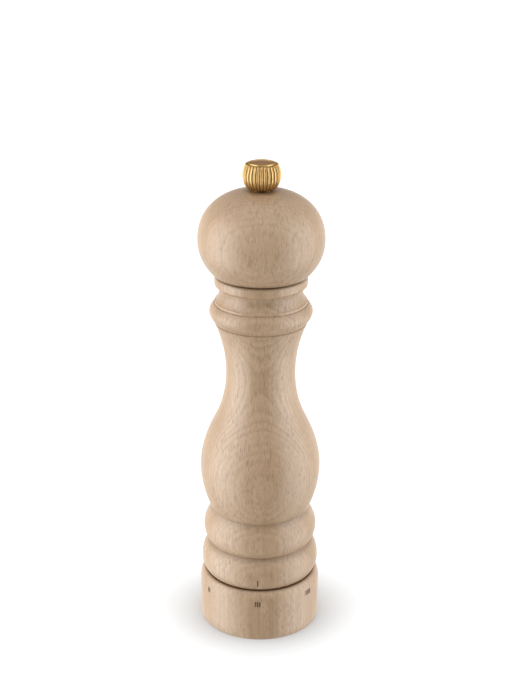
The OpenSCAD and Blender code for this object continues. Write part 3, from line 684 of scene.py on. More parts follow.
@dataclass(frozen=True)
class Beech:
    """Fine-sanded natural beech, turned from a flat-sawn square.

    Growth rings are shells round a pith behind the piece, rays are thin
    ribbons that run towards it, and fibres run along the axis. A grain says
    how fine a pattern is: how many of its cells lie on a millimetre across,
    towards the pith and along the fibres.

    Args:
        name: name of the material.
        shift: where in the plank this piece was cut, in mm.
        pith: place of the pith across the axis, in mm.
        ring_gap: width of a growth ring.
        ring_phase: share of a ring by which all rings are moved.
        ring_strength: how much its late wood darkens.
        ring_tone: how much late wood there is along a ring.
        weakest_ring: weight of the faintest ring.
        waver_grain: grain of the wide bends of the rings.
        waver: how far they move a ring, in mm.
        ripple_grain: grain of their small bends.
        ripple: how far those move a ring, in mm.
        ray_grain: grain of the broad rays.
        fine_grain: grain of the fine rays.
        fine_shift: moves the fine rays off the broad ones, in cells.
        fine_strength: how dark the fine rays are beside the broad ones.
        dense_grain: grain of the zones with more rays.
        dense: how dark rays are in those zones.
        ray_strength: how dark the rays are.
        ray_face: how dark they are by how far round the side they lie.
        cut_and_gap_shade: how dark a face is by how far it is cut across the fibres; the flat faces
            in the joints go nearly dark, as painted shade of the gaps.
        zone_grain: grain of the warmer zones.
        zones: how warm they are.
        streak_grain: grain of the long streaks.
        streaks: how much they lighten or darken.
        fibre_grain: grain of the fibres.
        fibres: how much they lighten or darken.
        shade_by_fibre: how much of the painted shade shows at low and at high fibres.
        pale: colour of the early wood.
        warm: colour of the warmer zones.
        late: colour of the late wood.
        ray: colour of the rays.
        burnt: colour of the burnt marks.
        end_grain_and_gap_shade: colour of faces cut square across the fibres: darker end grain, and
            painted shade in the joints' gaps.
        painted_shade_colour: colour of the painted shade round grooves and joints.
        relief: lowest and highest fibres, as shares of the relief's depth.
        ray_relief: how far rays sink below them.
        ring_relief: how far late wood sinks below them.
        relief_depth: depth of the relief, in mm.
        relief_strength: how strongly it shows.
        gloss: roughness of the sanded surface.
        gloss_swing: how far low and high fibres move it.
        burnt_gloss: how much rougher burnt wood is.
        sheen: how strongly its sealed surface reflects.
    """

    name: str
    shift: Triple
    pith: Pair = (0.5, 92.0)
    ring_gap: float = 1.42
    ring_phase: float = 0.18
    ring_strength: float = 0.46
    ring_tone: Pairs = (
        (0.0, 0.40),
        (0.09, 0.02),
        (0.35, 0.05),
        (0.70, 0.58),
        (0.94, 1.0),
        (1.0, 0.55),
    )
    weakest_ring: float = 0.25
    waver_grain: Triple = (0.05, 0.05, 0.010)
    waver: float = 0.9
    ripple_grain: Triple = (0.30, 0.30, 0.06)
    ripple: float = 0.22
    ray_grain: Triple = (3.2, 0.22, 0.36)
    fine_grain: Triple = (6.6, 0.18, 0.90)
    fine_shift: Triple = (3.1, 7.7, 1.9)
    fine_strength: float = 0.55
    dense_grain: Triple = (0.16, 0.16, 0.05)
    dense: Pairs = ((0.30, 0.35), (0.62, 1.0))
    ray_strength: float = 0.70
    ray_face: Pairs = ((0.70, 1.0), (0.97, 0.32))
    cut_and_gap_shade: Pairs = ((0.55, 0.0), (0.90, 0.10), (0.985, 0.22), (1.0, 0.85))
    zone_grain: Triple = (0.05, 0.05, 0.012)
    zones: Pairs = ((0.35, 0.0), (0.66, 1.0))
    streak_grain: Triple = (0.75, 0.75, 0.010)
    streaks: Pairs = ((0.30, 0.90), (0.70, 1.07))
    fibre_grain: Triple = (5.0, 5.0, 0.16)
    fibres: Pairs = ((0.30, 0.90), (0.50, 0.99), (0.72, 1.06))
    shade_by_fibre: Pair = (0.75, 1.15)
    pale: Colour = (0.565, 0.396, 0.250)
    warm: Colour = (0.510, 0.340, 0.204)
    late: Colour = (0.345, 0.215, 0.120)
    ray: Colour = (0.250, 0.145, 0.075)
    burnt: Colour = (0.125, 0.070, 0.038)
    end_grain_and_gap_shade: Colour = (0.190, 0.105, 0.052)
    painted_shade_colour: Colour = (0.150, 0.085, 0.042)
    relief: Pair = (0.35, 0.65)
    ray_relief: float = 0.3
    ring_relief: float = 0.12
    relief_depth: float = 0.030
    relief_strength: float = 0.6
    gloss: float = 0.40
    gloss_swing: Pair = (-0.06, 0.08)
    burnt_gloss: float = 0.25
    sheen: float = 1.0

    def rings(self, graph: Graph, log: Socket) -> Socket:
        """How much late wood lies at a place.

        The rings are counted along the distance from the pith. Late wood
        grows darker towards the end of each ring and stops short, and each
        ring's weight is drawn from its number.

        Args:
            graph: the material's nodes.
            log: the place in the log, in mm.

        Returns:
            The late wood, from 0 to 1.
        """
        waver = graph.noise(graph.stretched(log, self.waver_grain))
        ripple = graph.noise(graph.stretched(log, self.ripple_grain))
        wide = graph.ranged(waver, -self.waver, self.waver)
        shell = graph.math("ADD", graph.axis_distance(log, self.pith), wide)
        shell = graph.math("ADD", shell, graph.ranged(ripple, -self.ripple, self.ripple))
        count = graph.math("ADD", graph.math("DIVIDE", shell, self.ring_gap), self.ring_phase)
        late = graph.ramp(graph.math("FRACT", count), self.ring_tone)
        number = graph.math("FLOOR", count)
        year = graph.node("ShaderNodeTexWhiteNoise", noise_dimensions="1D")
        graph.feed(year.inputs["W"], number)
        return graph.times(late, graph.ranged(year.outputs["Value"], self.weakest_ring, 1.0))

    def rays(self, graph: Graph, log: Socket) -> Socket:
        """How much of a ray lies at a place: broad and fine ones together.

        Args:
            graph: the material's nodes.
            log: the place in the log, in mm.

        Returns:
            The rays, from 0 to 1.
        """
        broad = graph.spindles(graph.stretched(log, self.ray_grain), size=0.58, soft=0.10)
        fine_cells = graph.stretched(log, self.fine_grain, self.fine_shift)
        fine = graph.spindles(fine_cells, size=0.60, soft=0.20)
        dense = graph.noise(graph.stretched(log, self.dense_grain))
        both = graph.math("MAXIMUM", broad, graph.times(fine, self.fine_strength))
        both = graph.times(both, self.quarter_fade(graph))
        return graph.times(both, graph.ramp(dense, self.dense))

    def quarter_fade(self, graph: Graph) -> Socket:
        """Share of a ray's colour: less on the sides, where it shows its flat face.

        It falls with the sideways share of the distance from the axis, |x| / r.

        Args:
            graph: the material's nodes.

        Returns:
            The share, from 0 to 1.
        """
        across = graph.node("ShaderNodeSeparateXYZ", {0: graph.place}).outputs[0]
        sideways = graph.math("ABSOLUTE", across)
        share = graph.math("DIVIDE", sideways, graph.axis_distance(graph.place))
        return graph.ramp(share, self.ray_face)

    def timber(
        self, graph: Graph, log: Socket, late: Socket, rays: Socket, fibres: Socket
    ) -> Socket:
        """Colour of the clean wood, with painted shade on the flat faces in the joints.

        Args:
            graph: the material's nodes.
            log: the place in the log, in mm.
            late: how much late wood lies there.
            rays: how much of a ray.
            fibres: height of the fibres.

        Returns:
            The colour.
        """
        zones = graph.noise(graph.stretched(log, self.zone_grain), detail=3.0)
        streaks = graph.noise(graph.stretched(log, self.streak_grain), detail=3.0, rough=0.6)
        colour = graph.tinted(graph.ramp(zones, self.zones), self.pale, self.warm)
        colour = graph.tinted(graph.times(late, self.ring_strength), colour, self.late)
        colour = graph.shaded(colour, graph.ramp(streaks, self.streaks))
        colour = graph.shaded(colour, graph.ramp(fibres, self.fibres))
        colour = graph.tinted(graph.times(rays, self.ray_strength), colour, self.ray)
        # Flat faces take the end grain colour: darker end grain, and on the flat faces inside the
        # joints painted shade of the gaps.
        ends = graph.ramp(graph.attribute("ends"), self.cut_and_gap_shade)
        return graph.tinted(ends, colour, self.end_grain_and_gap_shade)

    def material(self) -> bpy.types.Material:
        """Builds the material from the timber, its painted shade and its burnt marks.

        Returns:
            The material.
        """
        graph = Graph(self.name)
        log = graph.millimetres(self.shift)
        late = self.rings(graph, log)
        rays = self.rays(graph, log)
        fibres = graph.noise(graph.stretched(log, self.fibre_grain), detail=3.0, rough=0.66)
        scorch = graph.attribute("scorch")
        colour = self.timber(graph, log, late, rays, fibres)
        # Painted shade round grooves and joints, broken up by the fibres.
        shade_by_fibre = graph.times(graph.attribute("painted_shade"), graph.ranged(fibres, *self.shade_by_fibre))
        colour = graph.tinted(shade_by_fibre, colour, self.painted_shade_colour)
        colour = graph.tinted(scorch, colour, self.burnt)
        relief = graph.ranged(fibres, *self.relief)
        relief = graph.math("SUBTRACT", relief, graph.times(rays, self.ray_relief))
        relief = graph.math("SUBTRACT", relief, graph.times(late, self.ring_relief))
        graph.bumped(relief, self.relief_depth, self.relief_strength)
        low, high = (self.gloss + swing for swing in self.gloss_swing)
        burnt = graph.times(scorch, self.burnt_gloss)
        gloss = graph.math("ADD", graph.ranged(fibres, low, high), burnt)
        return graph.finish(Base_Color=colour, Roughness=gloss, Specular_IOR_Level=self.sheen)


@dataclass(frozen=True)
class Brass:
    """Polished brass with fine turning lines, darker where polish never reaches, with painted shade
    under the foot and a painted dark reflection in the dish.

    Args:
        name: name of the material.
        bright: colour of the polished metal.
        deep: colour of the tarnish at the bottom of the flutes, also used as painted shade under
            the knob's foot.
        edge: tint of the metal seen along its surface.
        dish_brown: colour of the dish: a matt finish, darkened as a painted dark reflection.
        gloss: roughness of the polish.
        gloss_swing: how far untouched and handled places move it.
        dulling: how much rougher the flutes, the shaded underside and the dish are.
        hollow_tint: share of the deep colour at the bottom of a flute and in the painted shade
            under the foot.
        handled: share of the deep colour by how much a place is handled.
        lines: number of turning lines per millimetre.
        line_depth: depth of the lines, in mm.
    """

    name: str = "polished_brass"
    bright: Colour = (0.690, 0.480, 0.210)
    deep: Colour = (0.330, 0.180, 0.062)
    edge: Colour = (0.62, 0.45, 0.22)
    dish_brown: Colour = (0.560, 0.380, 0.250)
    gloss: float = 0.33
    gloss_swing: Pair = (-0.05, 0.07)
    dulling: float = 0.10
    hollow_tint: float = 0.85
    handled: Pairs = ((0.45, 0.0), (0.75, 0.25))
    lines: float = 9.0
    line_depth: float = 0.0006

    def material(self) -> bpy.types.Material:
        """Builds the material from turning lines, handling marks, tarnish, painted shade under the
        foot and a painted dark reflection in the dish.

        Returns:
            The material.
        """
        graph = Graph(self.name)
        place = graph.millimetres()
        handling = graph.noise(place, 0.55, detail=3.0)
        patina_and_foot_shade, matt_dish_and_reflection = graph.attribute("patina_and_foot_shade"), graph.attribute("matt_dish_and_reflection")
        # The deep colour is tarnish in the flutes and painted shade under the knob's foot.
        colour = graph.tinted(graph.times(patina_and_foot_shade, self.hollow_tint), self.bright, self.deep)
        colour = graph.tinted(graph.ramp(handling, self.handled), colour, self.deep)
        # The dish is tinted brown: partly a matt finish, partly a painted dark reflection.
        colour = graph.tinted(matt_dish_and_reflection, colour, self.dish_brown)
        low, high = (self.gloss + swing for swing in self.gloss_swing)
        dulled = graph.times(graph.math("ADD", patina_and_foot_shade, matt_dish_and_reflection), self.dulling)
        gloss = graph.math("ADD", graph.ranged(handling, low, high), dulled)
        lines = graph.tool_lines(place, self.lines, detail=2.0, rough=0.6)
        graph.bumped(lines, self.line_depth, strength=0.5)
        return graph.finish(
            Base_Color=colour, Metallic=1.0, Roughness=gloss, Specular_Tint=self.edge
        )


@dataclass(frozen=True)
class Metal:
    """Machined steel: lathe or die lines round the axis, and faint blotches.

    Args:
        name: name of the material.
        bright: colour of the metal.
        dull: colour of its blotches.
        gloss: lowest and highest roughness.
        lines: number of tool lines per millimetre.
        depth: depth of the lines, in mm.
        blotches: share of the dull colour from clear to blotched places.
        shade: how much the lines darken.
    """

    name: str
    bright: Colour
    dull: Colour
    gloss: Pair
    lines: float = 6.0
    depth: float = 0.006
    blotches: Pairs = ((0.40, 0.0), (0.70, 1.0))
    shade: Pairs = ((0.30, 0.86), (0.70, 1.0))

    def material(self) -> bpy.types.Material:
        """Builds the material from tool lines and blotches.

        Returns:
            The material.
        """
        graph = Graph(self.name)
        place = graph.millimetres()
        lines = graph.tool_lines(place, self.lines, detail=3.0, rough=0.65)
        blotches = graph.noise(place, 0.35, detail=4.0, rough=0.6)
        colour = graph.tinted(graph.ramp(blotches, self.blotches), self.bright, self.dull)
        colour = graph.shaded(colour, graph.ramp(lines, self.shade))
        graph.bumped(lines, self.depth, strength=0.8)
        gloss = graph.ranged(blotches, *self.gloss)
        return graph.finish(Base_Color=colour, Metallic=1.0, Roughness=gloss)


@dataclass(frozen=True)
class Moulded:
    """Moulded plastic with a fine spark-eroded skin and slight shrink marks.

    Args:
        name: name of the material.
        base: colour of the plastic.
        worn: colour where it is rubbed.
        gloss: lowest and highest roughness.
        skin: depth of the skin's texture, in mm.
        marks: share of the worn colour by how far the plastic has shrunk.
    """

    name: str
    base: Colour
    worn: Colour
    gloss: Pair
    skin: float = 0.01
    marks: Pairs = ((0.42, 0.0), (0.72, 1.0))

    def material(self) -> bpy.types.Material:
        """Builds the material from its skin and shrink marks.

        Returns:
            The material.
        """
        graph = Graph(self.name)
        place = graph.millimetres()
        skin = graph.noise(place, 5.5, detail=2.0, rough=0.55)
        shrink = graph.noise(place, 0.28, detail=3.0)
        colour = graph.tinted(graph.ramp(shrink, self.marks), self.base, self.worn)
        graph.bumped(skin, self.skin, strength=0.8)
        return graph.finish(Base_Color=colour, Roughness=graph.ranged(skin, *self.gloss))


# ------------------------------------------------------------ sub-assemblies


def dress(piece: bpy.types.Object, material: bpy.types.Material) -> None:
    """Gives a new piece its one material."""
    piece.data.materials.append(material)


def place_on(piece: bpy.types.Object, body: str, slot: Slot, *nodes: str) -> None:
    """Lets a piece ride on a body and stand for frame nodes.

    Args:
        piece: the new piece.
        body: the body that carries it.
        slot: the record's material slot; not used.
        nodes: the frame's nodes that it stands for.
    """
    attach(piece, body)
    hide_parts(*nodes)
    LOG.info("%s: %d faces on %s", piece.name, len(piece.data.polygons), body)


def foot_of(node: str) -> float:
    """Height of a frame node's lowest point, in mm."""
    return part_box(node)[0].z / MM


def top_of(node: str) -> float:
    """Height of a frame node's highest point, in mm."""
    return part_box(node)[1].z / MM


@dataclass
class SelectorRing:
    """The wooden ring at the foot, with its burnt scale marks. Sizes in mm.

    The rounded top edge is a bend that starts along round_leave, whose second
    number is a share of its height, and ends along round_arrive, whose first
    number is a share of its width. bevel_bulge and bevel_rise are shares of
    the bevel, and setting_angle is in degrees.
    """

    foot_radius: float = 28.0
    brow_radius: float = 27.9
    lip_radius: float = 25.6
    bore_radius: float = 21.5
    round_height: float = 4.9
    round_leave: Pair = (-0.1, 1.1)
    round_arrive: Pair = (-1.6, 0.4)
    round_steps: int = 24
    brow_slope: float = -0.02
    upright: float = 4.0
    bevel: float = 0.4
    bevel_bulge: Pair = (0.35, 0.55)
    bevel_rise: float = 1.3
    settings: int = 6
    rest_setting: int = 3
    setting_angle: float = 56.0
    bar_width: float = 0.6
    bar_height: float = 2.5
    bar_pitch: float = 1.02
    bar_level: float = 18.8
    ease: float = 0.3
    # Painted shade in the joint under the body's foot.
    joint_painted_shade: PaintedShade = PaintedShade(0.1, 0.55, 0.42)

    def side(self) -> np.ndarray:
        """Outer outline: a bevel, a straight side and a rounded top edge.

        Returns:
            The outline, upwards.
        """
        top = top_of("adjusting_ring")
        inset, lift = self.bevel_bulge
        pull, (back, flat) = self.round_leave, self.round_arrive
        brow = Station(self.brow_radius, top - self.round_height, self.brow_slope)
        return path(
            (self.foot_radius - self.bevel, 0.0),
            (self.foot_radius - inset * self.bevel, lift * self.bevel),
            (self.foot_radius, self.bevel_rise * self.bevel),
            rise(Station(self.foot_radius, self.upright), brow),
            bend(
                (self.brow_radius, brow.height),
                (pull[0], pull[1] * self.round_height),
                (self.lip_radius, top),
                (back * (self.brow_radius - self.lip_radius), flat),
                self.round_steps,
            ),
        )

    def core(self) -> np.ndarray:
        """Top face, bore and underside, with eased edges.

        Returns:
            The rest of the profile, downwards.
        """
        top = top_of("adjusting_ring")
        return path(
            (self.bore_radius + self.ease, top),
            (self.bore_radius, top - self.ease),
            (self.bore_radius, self.ease),
            (self.bore_radius + self.ease, 0.0),
        )

    def cuts(self) -> list[Cut]:
        """The bars of all marks: each mark has as many as its setting's number.

        Returns:
            One cut for each bar.
        """
        step = self.bar_pitch / self.brow_radius
        low = self.bar_level - self.bar_height / 2.0
        return [
            Cut(
                FRONT
                + radians(self.setting_angle) * (count - self.rest_setting)
                + (bar - (count - 1) / 2.0) * step,
                low,
                low + self.bar_height,
                self.bar_width,
            )
            for count in range(1, self.settings + 1)
            for bar in range(count)
        ]

    def build(self) -> None:
        """Builds and dresses the ring."""
        joint = self.joint_painted_shade.above(top_of("adjusting_ring"))
        ring = turn_profile(
            "selector_ring", self.side(), self.core(), self.cuts(), [joint]
        ).build()
        dress(ring, Beech("beech_ring", (31.0, 0.5, 260.0), pith=(29.0, 93.0)).material())
        place_on(ring, "selector", Slot.BEECH, "adjusting_ring")


@dataclass
class TurnedBody:
    """The turned body: foot beads, vase, shoulder bead and collar. Sizes in mm.

    The stations from low_bead to collar run upwards, and each height counts
    from the one before. Where the outline turns sharply, some pairs say how:
    foot_ease is how far its start lies inside and below the first bend,
    low_join and high_join how far over a groove the next bend starts and with
    which slope, flare_gap how far under the flare the neck ends, flare_join
    how far inside the flare the shoulder starts and with which slope, and
    bead_edge how far outside bead_top the shoulder bead ends and how far above
    it the step starts. step_edge and step_end are offsets from the step.
    cove_end holds how far outside the cove its curve ends, how far over the
    collar's station the collar starts, and the curve's last slope. The
    collar's lower round starts along collar_leave and ends along
    collar_arrive, and lip_pull is the pull of its upper one.
    """

    foot_radius: float = 25.4
    foot_ease: Pair = (0.2, 0.05)
    foot_slope: float = 0.8
    low_bead: Station = Station(27.15, 5.8)
    low_groove: Station = Station(23.6, 9.0, -0.95)
    low_join: Pair = (0.03, 0.8)
    high_bead: Station = Station(26.18, 7.5)
    high_groove: Station = Station(22.6, 9.3, -0.5)
    high_join: Pair = (0.03, 0.46)
    belly: Station = Station(27.5, 21.1)
    flank: Station = Station(21.0, 23.0, -0.51)
    neck: Station = Station(15.64, 23.2)
    flare: Station = Station(20.6, 23.9, 0.42)
    flare_gap: float = 0.2
    flare_join: Pair = (0.3, 0.9)
    shoulder: Station = Station(23.0, 5.2)
    bead_top: Station = Station(20.6, 3.7, -0.8)
    bead_edge: Pair = (0.4, 0.1)
    step_height: float = 1.4
    step_edge: Pairs = ((0.02, -0.70), (-0.05, -0.40), (-0.16, -0.18), (-0.32, -0.04))
    step_end: Station = Station(-0.46, 0.04, -0.8)
    cove: Station = Station(18.6, 3.8)
    cove_end: Station = Station(0.6, 0.01, 0.3)
    collar: Station = Station(20.65, 2.3)
    collar_round: float = 1.7
    collar_leave: Pair = (1.4, 0.0)
    collar_arrive: Pair = (0.0, 1.8)
    lip_round: float = 1.6
    lip_pull: float = 2.6
    short_bend: int = 8
    round_bend: int = 14
    neck_bend: int = 30
    long_bend: int = 36
    mouth_radius: float = 15.1
    mouth_depth: float = 12.55
    mouth_ease: float = 0.3
    hopper_radius: float = 12.0
    flange_seat_radius: float = 22.7
    flange_seat_depth: float = 1.85
    tube_seat_radius: float = 17.25
    tube_seat_depth: float = 28.7
    index_length: float = 3.5
    index_width: float = 0.5
    index_gap: float = 0.05
    # Bands of painted shade: the joints, grooves, crease and cove are darkened where they would lie
    # in shade.
    foot_painted_shade: PaintedShade = PaintedShade(0.0, 0.8, 0.42)
    low_groove_painted_shade: PaintedShade = PaintedShade(0.0, 1.5, 0.42)
    high_groove_painted_shade: PaintedShade = PaintedShade(0.0, 1.6, 0.38)
    flare_painted_shade: PaintedShade = PaintedShade(0.0, 1.0, 0.12)
    bead_top_painted_shade: PaintedShade = PaintedShade(0.0, 0.6, 0.16)
    cove_painted_shade: PaintedShade = PaintedShade(-0.4, 2.2, 0.22)
    top_painted_shade: PaintedShade = PaintedShade(0.0, 0.5, 0.55)

    def stations(self) -> dict[str, Station]:
        """The stations from the low bead to the collar, at their heights above the table.

        Returns:
            The placed stations by name, upwards.
        """
        steps = {
            "low_bead": self.low_bead,
            "low_groove": self.low_groove,
            "high_bead": self.high_bead,
            "high_groove": self.high_groove,
            "belly": self.belly,
            "flank": self.flank,
            "neck": self.neck,
            "flare": self.flare,
            "shoulder": self.shoulder,
            "bead_top": self.bead_top,
            "step": Station(self.bead_top.radius, self.step_height),
            "cove": self.cove,
            "collar": self.collar,
        }
        heights = foot_of("mill_body") + np.cumsum([step.height for step in steps.values()])
        return {
            name: Station(step.radius, height, step.slope)
            for (name, step), height in zip(steps.items(), heights.tolist())
        }

    def foot_and_vase(self, at: dict[str, Station]) -> np.ndarray:
        """Outline from the foot over both beads, the belly and the neck.

        Args:
            at: the placed stations.

        Returns:
            The outline, upwards.
        """
        foot = foot_of("mill_body")
        inset, lift = self.foot_ease
        flare = at["flare"]
        return path(
            (self.foot_radius - inset, foot),
            rise(Station(self.foot_radius, foot + lift, self.foot_slope), at["low_bead"]),
            rise(at["low_bead"], at["low_groove"]),
            rise(at["low_groove"].moved(*self.low_join), at["high_bead"]),
            rise(at["high_bead"], at["high_groove"]),
            rise(at["high_groove"].moved(*self.high_join), at["belly"], self.long_bend),
            rise(at["belly"], at["flank"], self.long_bend),
            rise(at["flank"], at["neck"], self.neck_bend),
            rise(at["neck"], flare.moved(-self.flare_gap, flare.slope), self.neck_bend),
        )

    def shoulder_and_step(self, at: dict[str, Station]) -> np.ndarray:
        """Outline over the shoulder bead, the step and the cove.

        Args:
            at: the placed stations.

        Returns:
            The outline, upwards.
        """
        flare, bead_top, step, cove = (at[name] for name in ("flare", "bead_top", "step", "cove"))
        inset, slope = self.flare_join
        outset, lift = self.bead_edge
        bead_end = Station(bead_top.radius + outset, bead_top.height, bead_top.slope)
        ledge = self.step_end
        ledge = Station(step.radius + ledge.radius, step.height + ledge.height, ledge.slope)
        end_radius, end_height = cove.radius + self.cove_end.radius, at["collar"].height
        return path(
            rise(Station(flare.radius - inset, flare.height, slope), at["shoulder"]),
            rise(at["shoulder"], bead_end),
            (step.radius, bead_top.height + lift),
            [(step.radius + out, step.height + up) for out, up in self.step_edge],
            rise(ledge, cove),
            rise(cove, Station(end_radius, end_height, self.cove_end.slope), self.short_bend),
        )

    def collar_top(self, at: dict[str, Station]) -> np.ndarray:
        """Outline of the collar: out from the cove, up, and rounded over at the top.

        Args:
            at: the placed stations.

        Returns:
            The outline, upwards.
        """
        top, collar = top_of("mill_body"), at["collar"]
        start = (at["cove"].radius + self.cove_end.radius, collar.height + self.cove_end.height)
        side = (collar.radius, collar.height + self.collar_round)
        edge = (collar.radius, top - self.collar_round)
        lip = (collar.radius - self.lip_round, top)
        return path(
            bend(start, self.collar_leave, side, self.collar_arrive, self.round_bend),
            bend(edge, (0.0, self.lip_pull), lip, (-self.lip_pull, 0.0), self.round_bend),
        )

    def side(self) -> np.ndarray:
        """Outer outline over the stations, with a smooth bend between each two."""
        at = self.stations()
        return path(self.foot_and_vase(at), self.shoulder_and_step(at), self.collar_top(at))

    def core(self) -> np.ndarray:
        """Mouth, hopper bore, seat of the tube and seat of the flange.

        Returns:
            The rest of the profile, downwards.
        """
        foot = foot_of("mill_body")
        top = top_of("mill_body")
        mouth = top - self.mouth_depth
        seat = foot + self.tube_seat_depth
        return path(
            (self.mouth_radius + self.mouth_ease, top),
            (self.mouth_radius, top - self.mouth_ease),
            (self.mouth_radius, mouth),
            (self.hopper_radius, mouth - (self.mouth_radius - self.hopper_radius)),
            (self.hopper_radius, seat + (self.tube_seat_radius - self.hopper_radius)),
            (self.tube_seat_radius, seat),
            (self.tube_seat_radius, foot + self.flange_seat_depth),
            (self.flange_seat_radius, foot + self.flange_seat_depth),
            (self.flange_seat_radius, foot),
        )

    def painted_shades(self) -> list[PaintedShade]:
        """Painted shade at both joints, the two grooves, the neck's end and the cove.

        Returns:
            The stains, upwards.
        """
        at = self.stations()
        return [
            self.foot_painted_shade.above(foot_of("mill_body")),
            self.low_groove_painted_shade.above(at["low_groove"].height),
            self.high_groove_painted_shade.above(at["high_groove"].height),
            self.flare_painted_shade.above(at["flare"].height),
            self.bead_top_painted_shade.above(at["bead_top"].height),
            self.cove_painted_shade.above(at["cove"].height),
            self.top_painted_shade.above(top_of("mill_body")),
        ]

    def index(self) -> Cut:
        """The index mark on the lower foot bead, which the settings turn to."""
        high = foot_of("mill_body") + self.low_bead.height - self.index_gap
        return Cut(FRONT, high - self.index_length, high, self.index_width)

    def build(self) -> None:
        """Builds and dresses the body."""
        body = turn_profile(
            "turned_body", self.side(), self.core(), [self.index()], self.painted_shades()
        ).build()
        dress(body, Beech("beech_body", (0.0, 0.0, 0.0)).material())
        place_on(body, "root", Slot.BEECH, "mill_body")


@dataclass
class TurnedHead:
    """The domed head with the spigot that centres it in the body. Sizes in mm.

    The dome is a bend that starts straight up, with dome_leave as a share of
    its height. It ends inwards, with dome_arrive as a share of its width, and
    dome_lift is how much it still climbs there.
    """

    foot_radius: float = 21.1
    foot_lift: float = 0.02
    foot_slope: float = 1.0
    flare_bend: int = 30
    widest: Station = Station(27.9, 15.4)
    dome_leave: float = 2.11
    dome_arrive: float = -1.34
    dome_lift: float = 1.5
    dome_bend: int = 56
    seat_radius: float = 5.0
    spigot_radius: float = 14.8
    spigot_length: float = 11.0
    spigot_ease: float = 0.5
    bearing_radius: float = 18.3
    bearing_drop: float = 0.4
    shaft_bore: float = 4.6
    stud_bore: float = 3.0
    stud_bore_depth: float = 9.5
    stud_ease: float = 0.2
    # Painted shade in the joint between the head and the body.
    joint_painted_shade: PaintedShade = PaintedShade(0.0, 0.7, 0.75)

    def side(self) -> np.ndarray:
        """Outer outline: flares from the lower edge, then domes over to the seat.

        Returns:
            The outline, upwards.
        """
        seat = top_of("head")
        foot = foot_of("head") + self.spigot_length
        edge = Station(self.foot_radius, foot + self.foot_lift, self.foot_slope)
        widest = Station(self.widest.radius, foot + self.widest.height)
        return path(
            (self.foot_radius, foot),
            rise(edge, widest, self.flare_bend),
            bend(
                (widest.radius, widest.height),
                (0.0, self.dome_leave * (seat - widest.height)),
                (self.seat_radius, seat),
                (self.dome_arrive * (widest.radius - self.seat_radius), self.dome_lift),
                self.dome_bend,
            ),
        )

    def core(self) -> np.ndarray:
        """Seat, stud bore, shaft bore, spigot and the step above it.

        Returns:
            The rest of the profile, downwards and back up to the lower edge.
        """
        low = foot_of("head")
        seat = top_of("head")
        foot = low + self.spigot_length
        step = foot - self.bearing_drop
        return path(
            (self.stud_bore + self.stud_ease, seat),
            (self.stud_bore, seat - self.stud_ease),
            (self.stud_bore, seat - self.stud_bore_depth),
            (self.shaft_bore, seat - self.stud_bore_depth),
            (self.shaft_bore, low),
            (self.spigot_radius - self.spigot_ease, low),
            (self.spigot_radius, low + self.spigot_ease),
            (self.spigot_radius, step),
            (self.bearing_radius, step),
            (self.bearing_radius, foot),
        )

    def build(self) -> None:
        """Builds and dresses the head."""
        joint = self.joint_painted_shade.above(foot_of("head") + self.spigot_length)
        head = turn_profile("turned_head", self.side(), self.core(), [], [joint]).build()
        grain = Beech(
            "beech_head",
            (-17.0, 0.0, 120.0),
            pith=(-17.5, 92.0),
            ring_gap=2.1,
            ring_phase=-0.06,
            ring_strength=0.38,
        )
        dress(head, grain.material())
        place_on(head, "head", Slot.BEECH, "head")


